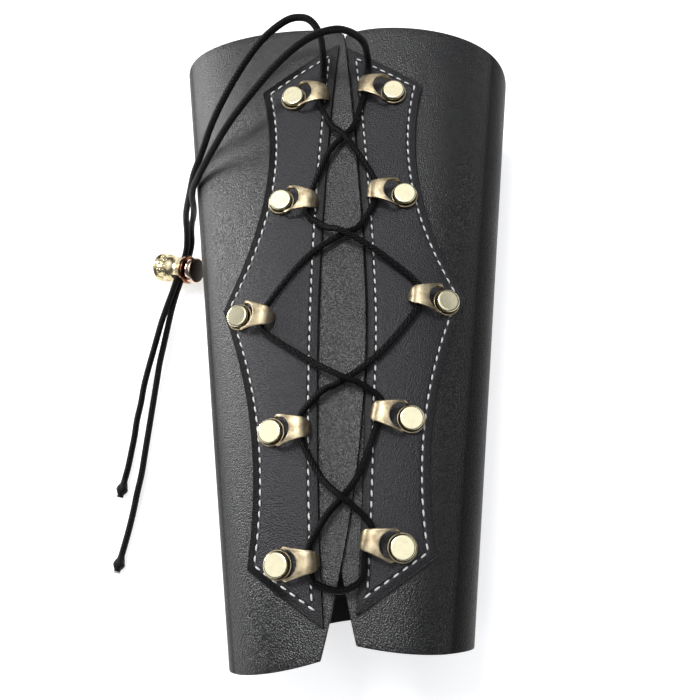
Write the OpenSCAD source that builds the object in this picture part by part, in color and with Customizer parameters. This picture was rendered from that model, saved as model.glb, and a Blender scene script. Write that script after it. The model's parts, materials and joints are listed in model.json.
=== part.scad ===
// Laced forearm guard of one rolled leather sheet, lying on its back with the slit on top.
// Y runs along the arm towards the elbow, X across it, and Z is up from the surface it lies on.
// The origin is on that surface, under the middle of the guard's length.
// A place on the leather is given by w, the way round from the slit line, and y, the way up from the wrist.

/* [Leather shell] */
// Length of the guard along the arm
guard_len = 240; // [216:2:270]
// Width across the elbow end
elbow_w = 144; // [132:1:156]
// Height of the elbow end
elbow_d = 75; // [68:1:84]
// Width across the wrist end
wrist_w = 88; // [80:1:98]
// Height of the wrist end
wrist_d = 76; // [70:1:84]
// How square the section is, where 2 is an ellipse
section_power = 2.6; // [2:0.1:2.8]
// Thickness of the shell leather
shell_t = 2; // [1.6:0.1:2.6]
// How far the back is pressed flat where it lies
rest_flat = 0.6; // [0.4:0.1:0.8]
// Greatest overlap of one flap past the slit line
flap_lap = 8.6; // [6:0.2:10]
// Way along the arm to the widest place of the flaps
flap_lap_y = 116; // [100:2:140]
// How far the flap corners part at the wrist
notch_half = 6.5; // [4:0.5:8]
// Depth of the dip in the back of the wrist hem
wrist_dip = 11; // [0:1:20]
// Slant of the elbow hem, higher on the left
elbow_slant = 6.5; // [0:0.5:8]
// Slant of the wrist hem, lower on the left
wrist_slant = 2; // [0:0.5:5]
// Bow of the elbow hem on each side of the slit
elbow_bow = 4.5; // [0:0.1:5]
// How far the flap corners are cut back at the wrist
corner_cut = 4.3; // [2:0.1:9]

/* [Lacing panels] */
// Thickness of the panel leather
panel_t = 2; // [1.4:0.1:2.6]
// Half width out to the wing points
wing_w = 46.2; // [43:0.2:49]
// Way along the arm to the wing points
wing_y = 124.5; // [118:0.5:130]
// Half width at the waist on the elbow side
upper_waist_w = 28.5; // [26.5:0.1:31]
// Way along the arm to that waist
upper_waist_y = 186; // [176:1:190]
// Half width at the waist on the wrist side
lower_waist_w = 30.2; // [28:0.1:32]
// Way along the arm to that waist
lower_waist_y = 54; // [48:1:60]
// Way along the arm to the outer corners at the elbow
panel_top_y = 215; // [211:1:218]
// Way along the arm to the points at the elbow
panel_peak_y = 234; // [230:0.5:236]
// Way along the arm to the outer corners at the wrist
panel_low_y = 31; // [28:0.5:34]
// Way along the arm to the points at the wrist
panel_tip_y = 13; // [9:0.5:18]
// Greatest distance of the inner edge from the slit line
gap_half = 8; // [7:0.2:9]

/* [Lace loops and rivets] */
// Number of loop rows
rows = 5; // [5:1:5]
// Way along the arm to the first row
first_row = 33; // [31:0.5:37]
// Spacing of the rows along the arm
row_pitch = 44; // [42:0.5:45]
// Radius of the round foot of a loop
foot_r = 5; // [4.7:0.1:5.5]
// Thickness of the foot
foot_t = 0.8; // [0.6:0.1:1.2]
// Distance from the rivet to the closed end of a loop
loop_reach = 14.4; // [14:0.2:15.4]
// Height of the arch over the leather
arch_h = 5.6; // [5.2:0.1:6.4]
// Wall of the arch
arch_wall = 1.1; // [0.9:0.05:1.3]
// Half width of the closed end
nose_half = 3.7; // [3.4:0.1:3.9]
// Half width across the horns beside the rivet
horn_half = 5.7; // [5.5:0.1:6]
// Radius of the hollow edge that faces the rivet
crescent_r = 4.6; // [4.4:0.05:4.8]
// Radius of the rivet head
head_r = 4.25; // [4:0.05:4.5]
// Thickness of the rivet head
head_t = 1.7; // [1.3:0.1:2.2]
// Radius of the rivet shank under the head
shank_r = 3.2; // [2.6:0.1:3.6]
// Height of that shank
shank_h = 0.9; // [0.7:0.1:1.3]
// Radius of the rivet post
post_r = 1.6; // [1.3:0.1:2]
// Radius of the cap inside the guard
back_r = 4.2; // [3.6:0.1:4.6]
// Thickness of the cap inside the guard
back_t = 0.9; // [0.7:0.1:1.3]

/* [Cord] */
// Thickness of the stretched cord in the lacing
lace_d = 2.3; // [2:0.1:2.4]
// Thickness of the free cord ends
tail_d = 2.8; // [2.4:0.1:2.9]
// Length of an end knot
knot_len = 7.8; // [7:0.2:9]
// Thickness of an end knot
knot_d = 5.2; // [5:0.2:6.4]

/* [Cord lock] */
// Radius of the ornamented barrel
lock_r = 6.6; // [6.3:0.1:7]
// Length of the ornamented barrel
barrel_len = 8.4; // [7.6:0.2:9]
// Radius of the neck that the cord runs through
neck_r = 5.6; // [5:0.1:5.8]
// Length of the neck
neck_len = 6.2; // [6:0.1:7]
// Radius of the collar round the mouth
collar_r = 6.6; // [6:0.1:7]
// Length of the collar
collar_len = 2; // [1.6:0.1:2.6]
// Radius of the plunger stem
stem_r = 4.15; // [4:0.05:4.2]
// Radius of the plunger head
head_end_r = 6; // [5.6:0.1:6.4]
// Thickness of the plunger head
head_end_t = 3; // [2.4:0.1:3.6]
// How far the plunger can be pressed
press_travel = 1.4; // [1:0.1:1.8]
// Wire of the spring
wire_d = 0.6; // [0.4:0.05:0.8]
// Turns of the spring
spring_turns = 5; // [4:1:6]

/* [Hidden] */
$fn = 48;

// Small distances between pieces
skin_gap = 0.2;
lap_gap = 0.2;
run_gap = 0.05;
foot_gap = 0.15;
cord_gap = 0.3;
edge_gap = 0.3;

// The slit line is a little askew: it crosses from left of the middle at the wrist to right at the elbow
slit_start = -0.5;
slit_drift = 3;
// How far the panels lean to the left of the slit line at the elbow
panel_lean = 1;
// Above 1 this rounds the flap edges, and below 2 they draw in sooner towards the elbow
lap_power = 1.5;
// One flap sits higher than the other by twice this at the elbow
elbow_shift = 0.6;
// Share of the way round that the elbow hem bows over, on each side of the slit
bow_share = 0.25;
// One flap sits lower than the other by twice this at the wrist
flap_shift = 2;
hem_shift = 2.2;
hem_drop = 1;
corner_run = 30;
// How far each loop is set towards the elbow from its even row, rows counted from the elbow
left_rise = [0, -1, -1, -0.7, -0.6];
right_rise = [1, -0.9, 0.4, 0.4, 1];
// Rest turn of each loop on its rivet, closed end towards the elbow, rows counted from the elbow
left_tilt = [-3, -8, -9, 3, 4];
right_tilt = [10, 5, 6, 10, 12];
// Distance of the rivets from the slit line, rows counted from the elbow
rivet_w = [19.5, 23, 37.4, 23.7, 20];

// Mesh steps of the leather pieces
around = 60;
along = 16;
panel_across = 8;

LEFT = -1;
RIGHT = 1;

// The round section of the guard and points on it

function half_w(y) = (wrist_w + (elbow_w - wrist_w) * y / guard_len) / 2;
function half_d(y) = (wrist_d + (elbow_d - wrist_d) * y / guard_len) / 2;
function stretch(ang) = pow(pow(abs(sin(ang)), section_power) + pow(abs(cos(ang)), section_power),
    -1 / section_power);
function ring_at(ang, y) = stretch(ang) * [half_w(y) * sin(ang), half_d(y) * cos(ang)];
// The way that the section runs at an angle, over one degree
function ring_step(ang, y) = ring_at(ang + 0.5, y) - ring_at(ang - 0.5, y);
function mm_per_degree(ang, y) = norm(ring_step(ang, y));
function walk(step, y, n, ang) = n == 0 ? ang :
    let (half = step / mm_per_degree(ang, y) / 2)
    walk(step, y, n - 1, ang + step / mm_per_degree(ang + half, y));
function angle_at(w, y) = walk(w / 4, y, 4, 0);
function unit(v) = v / norm(v);
function normal_at(ang, y) = let (d = ring_step(ang, y)) unit([-d.y, 0, d.x]);
function place_at(ang, y, h) = let (p = ring_at(ang, y))
    [p.x, y - guard_len / 2, half_d(y) - rest_flat + p.y] + h * normal_at(ang, y);
function smooth(t) = let (s = min(1, max(0, t))) s * s * (3 - 2 * s);
function mix(a, b, t) = a + (b - a) * t;

// The slit: both flap edges are shallow bows, and the left flap lies on the right one

function slit_w(y) = slit_start + slit_drift * y / guard_len;
function lap(y) = y > flap_lap_y
    ? flap_lap * (1 - pow((y - flap_lap_y) / (guard_len - flap_lap_y), lap_power))
    : flap_lap - (flap_lap + notch_half) * pow((flap_lap_y - y) / flap_lap_y, 2);
lift = shell_t + lap_gap;
lap_margin = 2;
lap_blend = 62;
function raise_left(ang, y) =
    let (full = angle_at(slit_w(y) - lap(y) - lap_margin, y))
    let (start = angle_at(slit_w(y) - lap(y) - lap_margin - lap_blend, y))
    lift * smooth((ang - start) / (full - start));
function skin_at(side, ang, y, h) = place_at(ang, y, h + (side == LEFT ? raise_left(ang, y) : 0));

// A closed skin from a grid of points: g[i][j] outside and inside, walls all round

function grid_faces(n, m) = concat(
    [for (i = [0:n - 1], j = [0:m - 1]) each let (a = i * (m + 1) + j)
        [[a, a + 1, a + m + 2], [a, a + m + 2, a + m + 1]]],
    [for (i = [0:n - 1], j = [0:m - 1]) each let (a = (n + 1) * (m + 1) + i * (m + 1) + j)
        [[a, a + m + 2, a + 1], [a, a + m + 1, a + m + 2]]],
    let (q = (n + 1) * (m + 1)) concat(
        [for (i = [0:n - 1]) each let (a = i * (m + 1)) wall(a, a + m + 1, q)],
        [for (i = [0:n - 1]) each let (a = i * (m + 1) + m) wall(a + m + 1, a, q)],
        [for (j = [0:m - 1]) each wall(j + 1, j, q)],
        [for (j = [0:m - 1]) each let (a = n * (m + 1) + j) wall(a, a + 1, q)]));
function wall(a, b, q) = [[a, b, b + q], [a, b + q, a + q]];

module skin(outside, inside, flip = false) {
    n = len(outside) - 1;
    m = len(outside[0]) - 1;
    faces = grid_faces(n, m);
    polyhedron(points = concat([for (r = outside) each r], [for (r = inside) each r]),
        faces = flip ? [for (f = faces) [f[2], f[1], f[0]]] : faces, convexity = 8);
}

// The shell runs from the right flap edge, round the back, to the left flap edge

function round_part(i) = let (s = i / around) s - 0.5 * sin(360 * s) / (2 * PI);
function shell_angle(u, y) =
    let (first = angle_at(slit_w(y) - lap(y), y))
    let (last = 360 + angle_at(slit_w(y) + lap(y), y))
    mix(first, last, u);
function side_of(u) = sin(360 * u);
function edge_cut(u) =
    let (away = min(u, 1 - u) * PI * (wrist_w + wrist_d) / 2)
    corner_cut * pow(max(0, 1 - away / corner_run), 2);
function wrist_hem(u) =
    wrist_slant * side_of(u) - hem_drop + (u < 0.5 ? hem_shift : -hem_shift) * pow(cos(180 * u), 2)
    + edge_cut(u) + wrist_dip * pow(max(0, -cos(360 * u)), 2);
function elbow_hem(u) = guard_len - elbow_slant * side_of(u) * abs(side_of(u))
    + elbow_bow * sin(180 * sqrt(min(u, 1 - u, bow_share) / bow_share))
    + (u < 0.5 ? elbow_shift : -elbow_shift) * pow(max(0, cos(360 * u)), 6);
function shell_point(i, j, h) =
    let (u = round_part(i))
    let (y = mix(wrist_hem(u), elbow_hem(u), j / along))
    let (ang = shell_angle(u, y))
    let (up = u > 0.5 ? raise_left(ang - 360, y) : 0)
    let (p = place_at(ang, y, h + up))
    [p.x, p.y, h == 0 ? max(0, p.z) : p.z];

// A panel's outline: two hollow curves that meet in the wing point, and a bowed inner edge

function hollow(y, waist_w, waist_y) =
    let (rise = wing_w - waist_w)
    let (run = wing_y - waist_y)
    let (r = (rise * rise + run * run) / (2 * rise))
    waist_w + r - sqrt(r * r - pow(y - waist_y, 2));
peak_w = 1.6;
tip_w = 5.6;
function panel_outer(y) =
    y > panel_top_y ? mix(hollow(panel_top_y, upper_waist_w, upper_waist_y), peak_w,
        (y - panel_top_y) / (panel_peak_y - panel_top_y)) :
    y > wing_y ? hollow(y, upper_waist_w, upper_waist_y) :
    y > panel_low_y ? hollow(y, lower_waist_w, lower_waist_y) :
    mix(tip_w, hollow(panel_low_y, lower_waist_w, lower_waist_y),
        (y - panel_tip_y) / (panel_low_y - panel_tip_y));
gap_bow_y = 100;
function gap_line(y) = gap_half - (gap_half - 1) * pow((y - gap_bow_y) / (panel_peak_y - gap_bow_y), 2);
function lean(y) = panel_lean * pow(y / guard_len, 2);
function panel_inner(side, y, at_y) =
    side == RIGHT ? max(gap_line(y), lap(at_y) + edge_gap + lean(at_y)) : gap_line(y);

// Stations along a panel: its corners and even steps between them
function steps(a, b, n) = [for (k = [0:n - 1]) mix(a, b, k / n)];
panel_stations = concat(
    steps(panel_tip_y, panel_low_y, 4), steps(panel_low_y, wing_y, 11), steps(wing_y, panel_top_y, 11),
    steps(panel_top_y, panel_peak_y, 5), [panel_peak_y]);

function shifted(side, y) = y + side * flap_shift * (1 - y / guard_len);
function panel_point(side, y, t, h) =
    let (at_y = shifted(side, y))
    let (w = mix(panel_inner(side, y, at_y), max(panel_outer(y), panel_inner(side, y, at_y) + 0.4), t))
    let (ang = angle_at(slit_w(at_y) - lean(at_y) + side * w, at_y))
    skin_at(side, ang, at_y, h);
function panel_grid(side, h) = [for (y = panel_stations)
    [for (k = [0:panel_across]) panel_point(side, y, k / panel_across, h)]];

// The seat of a loop: [rivet axis on the leather, towards the closed end, along, outwards]

loop_mid = (loop_reach - foot_r) / 2;
function row_y(row) = first_row + (rows - row) * row_pitch;
function seat_y(side, row) = shifted(side, row_y(row)) + (side == RIGHT ? right_rise : left_rise)[row - 1];
function loop_seat(side, row) =
    let (y = seat_y(side, row))
    let (w = slit_w(y) + side * rivet_w[row - 1])
    let (ang = angle_at(w - side * loop_mid, y))
    let (h = panel_t + skin_gap)
    let (mid = skin_at(side, ang, y, h))
    let (across = unit(skin_at(side, ang + 2, y, h) - skin_at(side, ang - 2, y, h)))
    let (ahead = unit(skin_at(side, ang, y + 1, h) - skin_at(side, ang, y - 1, h)))
    let (out = unit(cross(across, ahead)))
    let (turn = side == LEFT ? left_tilt[row - 1] : 180 - right_tilt[row - 1])
    let (level = cross(out, across))
    [mid + out * foot_gap + across * side * loop_mid,
     across * cos(turn) + level * sin(turn), level * cos(turn) - across * sin(turn), out];
function in_seat(seat, p) = seat[0] + seat[1] * p.x + seat[2] * p.y + seat[3] * p.z;
module at_seat(seat)
    multmatrix([for (k = [0:2]) [seat[1][k], seat[2][k], seat[3][k], seat[0][k]]]) children();

// A tube swept along points, with flat ends

function ring_axis(p, i) =
    unit(i == 0 ? p[1] - p[0] : i == len(p) - 1 ? p[i] - p[i - 1] : unit(p[i + 1] - p[i]) + unit(p[i] - p[i - 1]));
function next_side(side, axis) = unit(side - axis * (side * axis));
function ring_sides(p, i, side) = i == len(p) ? [] :
    let (s = next_side(side, ring_axis(p, i)))
    concat([s], ring_sides(p, i + 1, s));
module tube(p, d, sides = 8) {
    n = len(p);
    across = ring_sides(p, 0, abs(ring_axis(p, 0).z) > 0.9 ? [1, 0, 0] : [0, 0, 1]);
    rings = [for (i = [0:n - 1]) let (b = cross(ring_axis(p, i), across[i]))
        [for (k = [0:sides - 1]) let (a = 360 * (k + 0.5) / sides)
            p[i] + (across[i] * cos(a) + b * sin(a)) * d / 2]];
    polyhedron(points = [for (r = rings) each r], convexity = 8, faces = concat(
        [[for (k = [0:sides - 1]) k]],
        [for (i = [0:n - 2], k = [0:sides - 1]) each
            let (a = i * sides + k, b = i * sides + (k + 1) % sides)
            [[a, a + sides, b + sides], [a, b + sides, b]]],
        [[for (k = [sides - 1:-1:0]) (n - 1) * sides + k]]));
}

// A smooth curve through points, with even steps in each stretch
function curve_at(a, b, c, d, t) = 0.5 * (2 * b + (c - a) * t + (2 * a - 5 * b + 4 * c - d) * t * t
    + (3 * b - a - 3 * c + d) * t * t * t);
function curve(p, n) = let (last = len(p) - 1) concat(
    [for (i = [0:last - 1], k = [0:n - 1]) curve_at(
        i == 0 ? 2 * p[0] - p[1] : p[i - 1], p[i], p[i + 1],
        i + 1 == last ? 2 * p[last] - p[last - 1] : p[i + 2], k / n)], [p[last]]);

// The lacing: down one side and up the other, through every loop, crossed between the rows

lace_x = loop_reach - arch_wall - lace_d / 2 - 0.6;
lace_z = lace_d / 2 + 0.5;
lace_run = 5.2;
// How far a strand keeps on past the straight line between two loops, beside each of them
lace_bow = 2.6;
lace_order = [[LEFT, 1], [RIGHT, 2], [LEFT, 3], [RIGHT, 4], [LEFT, 5], [RIGHT, 5], [LEFT, 4], [RIGHT, 3],
    [LEFT, 2], [RIGHT, 1]];
function through(stop, down) =
    let (s = loop_seat(stop[0], stop[1]))
    let (first = (down ? 1 : -1) * (stop[0] == LEFT ? 1 : -1) * lace_run)
    [in_seat(s, [lace_x, first, lace_z]), in_seat(s, [lace_x, 0, lace_z]), in_seat(s, [lace_x, -first, lace_z])];
function mouth_w(stop) = let (y = seat_y(stop[0], stop[1]))
    slit_w(y) + stop[0] * (rivet_w[stop[1] - 1] - lace_x);
function mouth_y(stop, down) = seat_y(stop[0], stop[1]) + (down ? -1 : 1) * lace_run;
function over_leather(w, y, h) = place_at(angle_at(w, y), y, h);
// Heights of a strand over the shell: beside the left loops, at the crossing, beside the right loops
under_h = [6.1, 5, 4.6];
over_h = [6.6, 7.7, 5.6];
function strand(from, to, down) =
    let (w1 = mouth_w(from), w2 = mouth_w(to), y1 = mouth_y(from, down), y2 = mouth_y(to, !down))
    let (ym = (y1 + y2) / 2, cut = (slit_w(ym) - w1) / (w2 - w1))
    let (hs = (from[0] == LEFT) == down ? over_h : under_h)
    let (hf = from[0] == LEFT ? hs[0] : hs[2], ht = from[0] == LEFT ? hs[2] : hs[0])
    let (bow = down ? -lace_bow : lace_bow)
    [over_leather(mix(w1, w2, cut / 2), mix(y1, y2, cut / 2) + bow, hf),
     over_leather(mix(w1, w2, cut), mix(y1, y2, cut), hs[1]),
     over_leather(mix(w1, w2, (1 + cut) / 2), mix(y1, y2, (1 + cut) / 2) - bow, ht)];
low_arc = [[-7, 24.5, 6.3], [0.5, 22.5, 5.4], [7, 26, 4.8]];
lace_route = concat(
    [for (i = [0:4]) each concat(through(lace_order[i], true),
        i == 4 ? [] : strand(lace_order[i], lace_order[i + 1], true))],
    [for (p = low_arc) over_leather(p[0], p[1], p[2])],
    [for (i = [5:9]) each concat(through(lace_order[i], false),
        i == 9 ? [] : strand(lace_order[i], lace_order[i + 1], false))]);

module shell() color([0.11, 0.11, 0.12])
    difference() {
        skin([for (i = [0:around]) [for (j = [0:along]) shell_point(i, j, 0)]],
            [for (i = [0:around]) [for (j = [0:along]) shell_point(i, j, -shell_t)]]);
        post_holes();
    }

module post_holes()
    for (side = [LEFT, RIGHT], row = [1:rows])
        at_seat(loop_seat(side, row))
            translate([0, 0, -3 * (shell_t + panel_t)])
                cylinder(r = post_r + run_gap, h = 4 * (shell_t + panel_t));

module panel(side)
    difference() {
        skin(panel_grid(side, panel_t + skin_gap), panel_grid(side, skin_gap), side == RIGHT);
        post_holes();
    }

module left_panel() color([0.14, 0.14, 0.15]) panel(LEFT);
module right_panel() color([0.14, 0.14, 0.15]) panel(RIGHT);

// A lace loop: a round foot under the rivet and a hollow arch without a floor, closed at the far end

arch_mid = 8;
arch_start = 1.5;
horn_z = 1.3;
horn_x = 3.2;
tunnel_start = 5;
nose_round = 2.4;
// Below 1 this makes the arch stay high towards its nose
nose_square = 0.7;
crescent_x = 3.4;
rim_w = 0.6;
rim_h = 0.5;
quarter = [0:10:90];
back_quarter = [90:-10:0];
function toward_nose(t, reach, top) =
    [arch_mid + (reach - arch_mid) * pow(sin(t), nose_square), top * pow(cos(t), nose_square)];
module arch_side() difference() {
    polygon(concat(
        [[arch_start, 0]],
        [for (t = back_quarter) [arch_mid - (arch_mid - arch_start) * sin(t),
            horn_z + (arch_h - horn_z) * cos(t)]],
        [for (t = quarter) toward_nose(t, loop_reach, arch_h)]));
    polygon(concat(
        [[tunnel_start, -1]],
        [for (t = back_quarter) [arch_mid - (arch_mid - tunnel_start) * sin(t), (arch_h - arch_wall) * cos(t)]],
        [for (t = quarter) toward_nose(t, loop_reach - arch_wall, arch_h - arch_wall)],
        [[loop_reach - arch_wall, -1]]));
}
module arch_plan() {
    half = concat([[arch_start, foot_r - 0.1], [horn_x, horn_half]],
        [for (t = quarter) [loop_reach - nose_round * (1 - sin(t)),
            nose_half - nose_round * (1 - cos(t))]]);
    polygon(concat(half, [for (i = [len(half) - 1:-1:0]) [half[i].x, -half[i].y]]));
}
module loop_shape() difference() {
    union() {
        cylinder(r = foot_r, h = foot_t);
        difference() {
            cylinder(r = foot_r, h = foot_t + rim_h);
            translate([0, 0, foot_t]) cylinder(r = foot_r - rim_w, h = 2 * rim_h);
        }
        difference() {
            intersection() {
                rotate([90, 0, 0]) linear_extrude(4 * horn_half, center = true) arch_side();
                linear_extrude(2 * arch_h) arch_plan();
            }
            translate([crescent_x, 0, -1]) cylinder(r = crescent_r, h = 3 * arch_h);
        }
    }
    translate([0, 0, -1]) cylinder(r = post_r + run_gap, h = 4 * foot_t);
}
module loop(side, row) color([0.72, 0.63, 0.42]) at_seat(loop_seat(side, row)) loop_shape();

// Rivets: a flat head on a shank, a post through the leather and a cap inside

bend_step = 6;
function bend_r(ang, y) =
    let (turn = acos(normal_at(ang - bend_step, y) * normal_at(ang + bend_step, y)))
    2 * bend_step * mm_per_degree(ang, y) / (turn * PI / 180) - shell_t;
function grip(side, row) =
    let (y = seat_y(side, row))
    let (ang = angle_at(slit_w(y) + side * rivet_w[row - 1], y))
    foot_gap + panel_t + skin_gap + shell_t + skin_gap + pow(loop_mid + back_r, 2) / (2 * bend_r(ang, y));
head_edge = 0.4;
module rivet(side, row) at_seat(loop_seat(side, row)) {
    low = foot_t + run_gap;
    rotate_extrude() polygon([[0, low], [shank_r, low], [shank_r, low + shank_h],
        [head_r, low + shank_h], [head_r, low + shank_h + head_t - head_edge],
        [head_r - head_edge, low + shank_h + head_t], [0, low + shank_h + head_t]]);
    translate([0, 0, -grip(side, row)]) cylinder(r = post_r, h = grip(side, row) + low);
}
module rivets() color([0.87, 0.81, 0.55])
    for (side = [LEFT, RIGHT], row = [1:rows]) rivet(side, row);
module rivet_backs() color([0.72, 0.63, 0.42])
    for (side = [LEFT, RIGHT], row = [1:rows]) at_seat(loop_seat(side, row))
        translate([0, 0, -grip(side, row)]) rotate_extrude()
            polygon([[0, 0], [back_r, 0], [back_r, -back_t + head_edge], [back_r - head_edge, -back_t], [0, -back_t]]);

module laced_cord() color([0.05, 0.05, 0.05]) tube(curve(lace_route, 2), lace_d);

// The free ends go over the left shoulder, lie together through the cord lock and end in knots

tail_lead = 4;
cord_step = (tail_d + cord_gap) / 2;
lock_at = [-82, 48, 10];
lock_turn = 15;
lock_tilt = 16;
lock_axis = [cos(lock_turn) * cos(lock_tilt), -sin(lock_turn) * cos(lock_tilt), sin(lock_tilt)];
upstream = [sin(lock_turn), cos(lock_turn), 0];
lock_up = cross(lock_axis, upstream);
function in_lock(p) = lock_at + lock_axis * p.x + upstream * p.y + lock_up * p.z;
module at_lock()
    multmatrix([for (k = [0:2]) [lock_axis[k], upstream[k], lock_up[k], lock_at[k]]]) children();

// The straight stretch through the lock, long enough for it to slide
straight_from = 8;
straight_to = -12.5;
function in_line(z) = [for (y = [straight_from, 1, -6, straight_to]) in_lock([0, y, z])];

left_fall = [[-5, 102.5, 88], [-6, 109, 91.5], [-10, 114, 93.5], [-16.5, 115, 93.5], [-23, 112, 92.5],
    [-29.1, 107.7, 90.6], [-34.7, 102.5, 87.9], [-39.9, 97, 84.7], [-44.9, 91.3, 81], [-49.5, 85.9, 76.9],
    [-53.5, 81.1, 72.3], [-57, 76.9, 67.3], [-60.5, 73.7, 62.1], [-64, 71.3, 56.4], [-66.9, 69.7, 50.1],
    [-69.7, 68.6, 43.5], [-72.5, 67.8, 36.9], [-75, 66.7, 30.5], [-76.8, 65.6, 24.4], [-78.1, 63.8, 18.8],
    [-79.2, 60.7, 14.3]];
right_fall = [[12, 103, 85], [11, 105, 89.5], [7.5, 105.5, 94], [2, 105, 97.5], [-5, 103, 98.5],
    [-11.6, 99.7, 98.2], [-18.1, 95.5, 96.6], [-24.8, 90.5, 94], [-31.3, 85.4, 90.6], [-37.4, 80.8, 86.8],
    [-43, 76.7, 82.5], [-48, 73, 77.6], [-52.7, 70, 72.3], [-57, 67.9, 66.7], [-60.9, 66.6, 60.7],
    [-64.6, 65.8, 54.3], [-67.2, 65.5, 47.1], [-68.9, 65.6, 39.4], [-71, 66.4, 31.9], [-73.4, 67.1, 24.8],
    [-75.9, 66.8, 18.7], [-77.5, 65, 13.4], [-78.3, 61.4, 9.7]];
left_end = [[-88, 29, 11], [-90.5, 21.5, 10], [-92.5, 14, 9], [-94.5, 6.5, 8], [-96.5, -1, 7], [-98, -8.5, 6.5],
    [-99, -16, 6], [-100.4, -23.5, 5.5], [-101.2, -31, 5], [-102.5, -38, 4], [-103.6, -44.5, 3.5],
    [-104.8, -50.5, 3.5]];
right_end = [[-86.5, 28, 8.5], [-88, 20, 8], [-89.5, 11.5, 7.5], [-91, 3, 7], [-92, -5.5, 6.5], [-93, -14, 6],
    [-94, -22.5, 5.5], [-95, -31, 5], [-96, -39.5, 4.5], [-97, -48, 4], [-98.4, -56.5, 4], [-99.8, -65, 3.5],
    [-101.4, -73.8, 3.5], [-103.4, -82.8, 3.5]];

lace_last = len(lace_route) - 1;
function lead(from, before) = [from, from + tail_lead * unit(from - before)];
left_route = concat(lead(lace_route[0], lace_route[1]), left_fall, in_line(cord_step), left_end);
right_route = concat(lead(lace_route[lace_last], lace_route[lace_last - 1]), right_fall, in_line(-cord_step),
    right_end);

module left_tail() color([0.05, 0.05, 0.05]) tube(left_route, tail_d);
module right_tail() color([0.05, 0.05, 0.05]) tube(right_route, tail_d);

// An end knot: a bulb pulled tight at the cord's end, and a short stub

module knot(route) {
    last = len(route) - 1;
    axis = unit(route[last] - route[last - 1]);
    side = next_side([0, 0, 1], axis);
    across = cross(side, axis);
    stub_r = tail_d / 2;
    bulb = [for (t = [0:0.125:1]) [mix(stub_r, knot_d / 2, pow(sin(180 * pow(t, 1.6)), 1.2)), 0.84 * knot_len * t]];
    multmatrix([for (k = [0:2]) [side[k], across[k], axis[k], route[last][k]]])
        rotate_extrude() polygon(concat([[0, 0]], bulb, [[stub_r, knot_len], [0, knot_len]]));
}
module left_knot() color([0.05, 0.05, 0.05]) knot(left_route);
module right_knot() color([0.05, 0.05, 0.05]) knot(right_route);

// The cord lock, along its own axis from 0 where the cords cross it

slot_half = tail_d / 2 + cord_gap;
slot_h = 2 * (cord_step + tail_d / 2 + cord_gap);
slot_margin = 0.5;
end_wall = 1.5;
web = 1.5;
lock_edge = 0.4;
collar_at = slot_half + slot_margin;
barrel_end = collar_at - neck_len;
barrel_start = barrel_end - barrel_len;
bore_end = barrel_start + end_wall;
stem_tip = -slot_half - web;
head_at = collar_at + collar_len + press_travel;
boss_r = 1.5;
boss_proud = 0.35;
boss_count = 9;
rim_len = 1.2;
rim_groove = 0.5;

module turned(profile) rotate([0, 90, 0]) rotate_extrude() polygon(profile);
module along_axis(r, from, to) translate([from, 0, 0]) rotate([0, 90, 0]) cylinder(r = r, h = to - from);

module lock_barrel() color([0.85, 0.76, 0.5]) at_lock() difference() {
    body_r = lock_r - boss_proud;
    shoulder = barrel_end - 1.6;
    groove_at = barrel_start + rim_len;
    union() {
        turned([[0, barrel_start], [lock_r - lock_edge, barrel_start], [lock_r, barrel_start + lock_edge],
            [lock_r, groove_at], [body_r - 0.2, groove_at + 0.2], [body_r - 0.2, groove_at + rim_groove],
            [body_r, groove_at + rim_groove + 0.2], [body_r, shoulder], [mix(neck_r, body_r, 0.7), shoulder + 1],
            [neck_r, barrel_end], [neck_r, collar_at], [collar_r - lock_edge, collar_at],
            [collar_r, collar_at + lock_edge], [collar_r, collar_at + collar_len - lock_edge],
            [collar_r - lock_edge, collar_at + collar_len], [0, collar_at + collar_len]]);
        for (row = [0, 1], k = [0:boss_count - 1])
            rotate([360 * (k + row / 2) / boss_count, 0, 0])
                translate([mix(groove_at + rim_groove, shoulder, row == 0 ? 0.27 : 0.75), 0, lock_r - boss_r])
                    sphere(r = boss_r, $fn = 24);
    }
    along_axis(stem_r + run_gap, bore_end, head_at);
    cube([2 * slot_half, 4 * lock_r, slot_h], center = true);
}

module lock_plunger() color([0.82, 0.66, 0.55]) at_lock() difference() {
    turned([[0, stem_tip], [stem_r, stem_tip], [stem_r, head_at], [head_end_r - lock_edge, head_at],
        [head_end_r, head_at + lock_edge], [head_end_r, head_at + head_end_t - lock_edge],
        [head_end_r - lock_edge, head_at + head_end_t], [0, head_at + head_end_t]]);
    translate([-slot_half, -2 * lock_r, -slot_h / 2]) cube([2 * slot_half + press_travel, 4 * lock_r, slot_h]);
}

coil_r = stem_r - wire_d;
turn_steps = 10;
module lock_spring() color([0.7, 0.7, 0.7]) at_lock() {
    first = bore_end + wire_d / 2;
    length = stem_tip - wire_d / 2 - first;
    n = spring_turns * turn_steps;
    tube([for (k = [0:n]) [first + length * k / n,
        coil_r * cos(360 * k / turn_steps), coil_r * sin(360 * k / turn_steps)]], wire_d, 6);
}

shell();
left_panel();
right_panel();
for (k = [1:5]) loop(LEFT, k);
for (k = [1:5]) loop(RIGHT, k);
rivets();
rivet_backs();
laced_cord();
left_tail();
right_tail();
left_knot();
right_knot();
lock_barrel();
lock_plunger();
lock_spring();
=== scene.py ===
# %% [markdown]
# This is a laced leather forearm guard, dressed around its construction model. The frame brings in
# every solid in metres. The finished pieces could be modelled on top of those solids, but a sleeve that
# is cut flat and rolled round looks right only when it is made that way. So each piece is made anew in
# the model's place, in millimetres as a pattern is cut, and becomes metres when it is wrapped.

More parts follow.
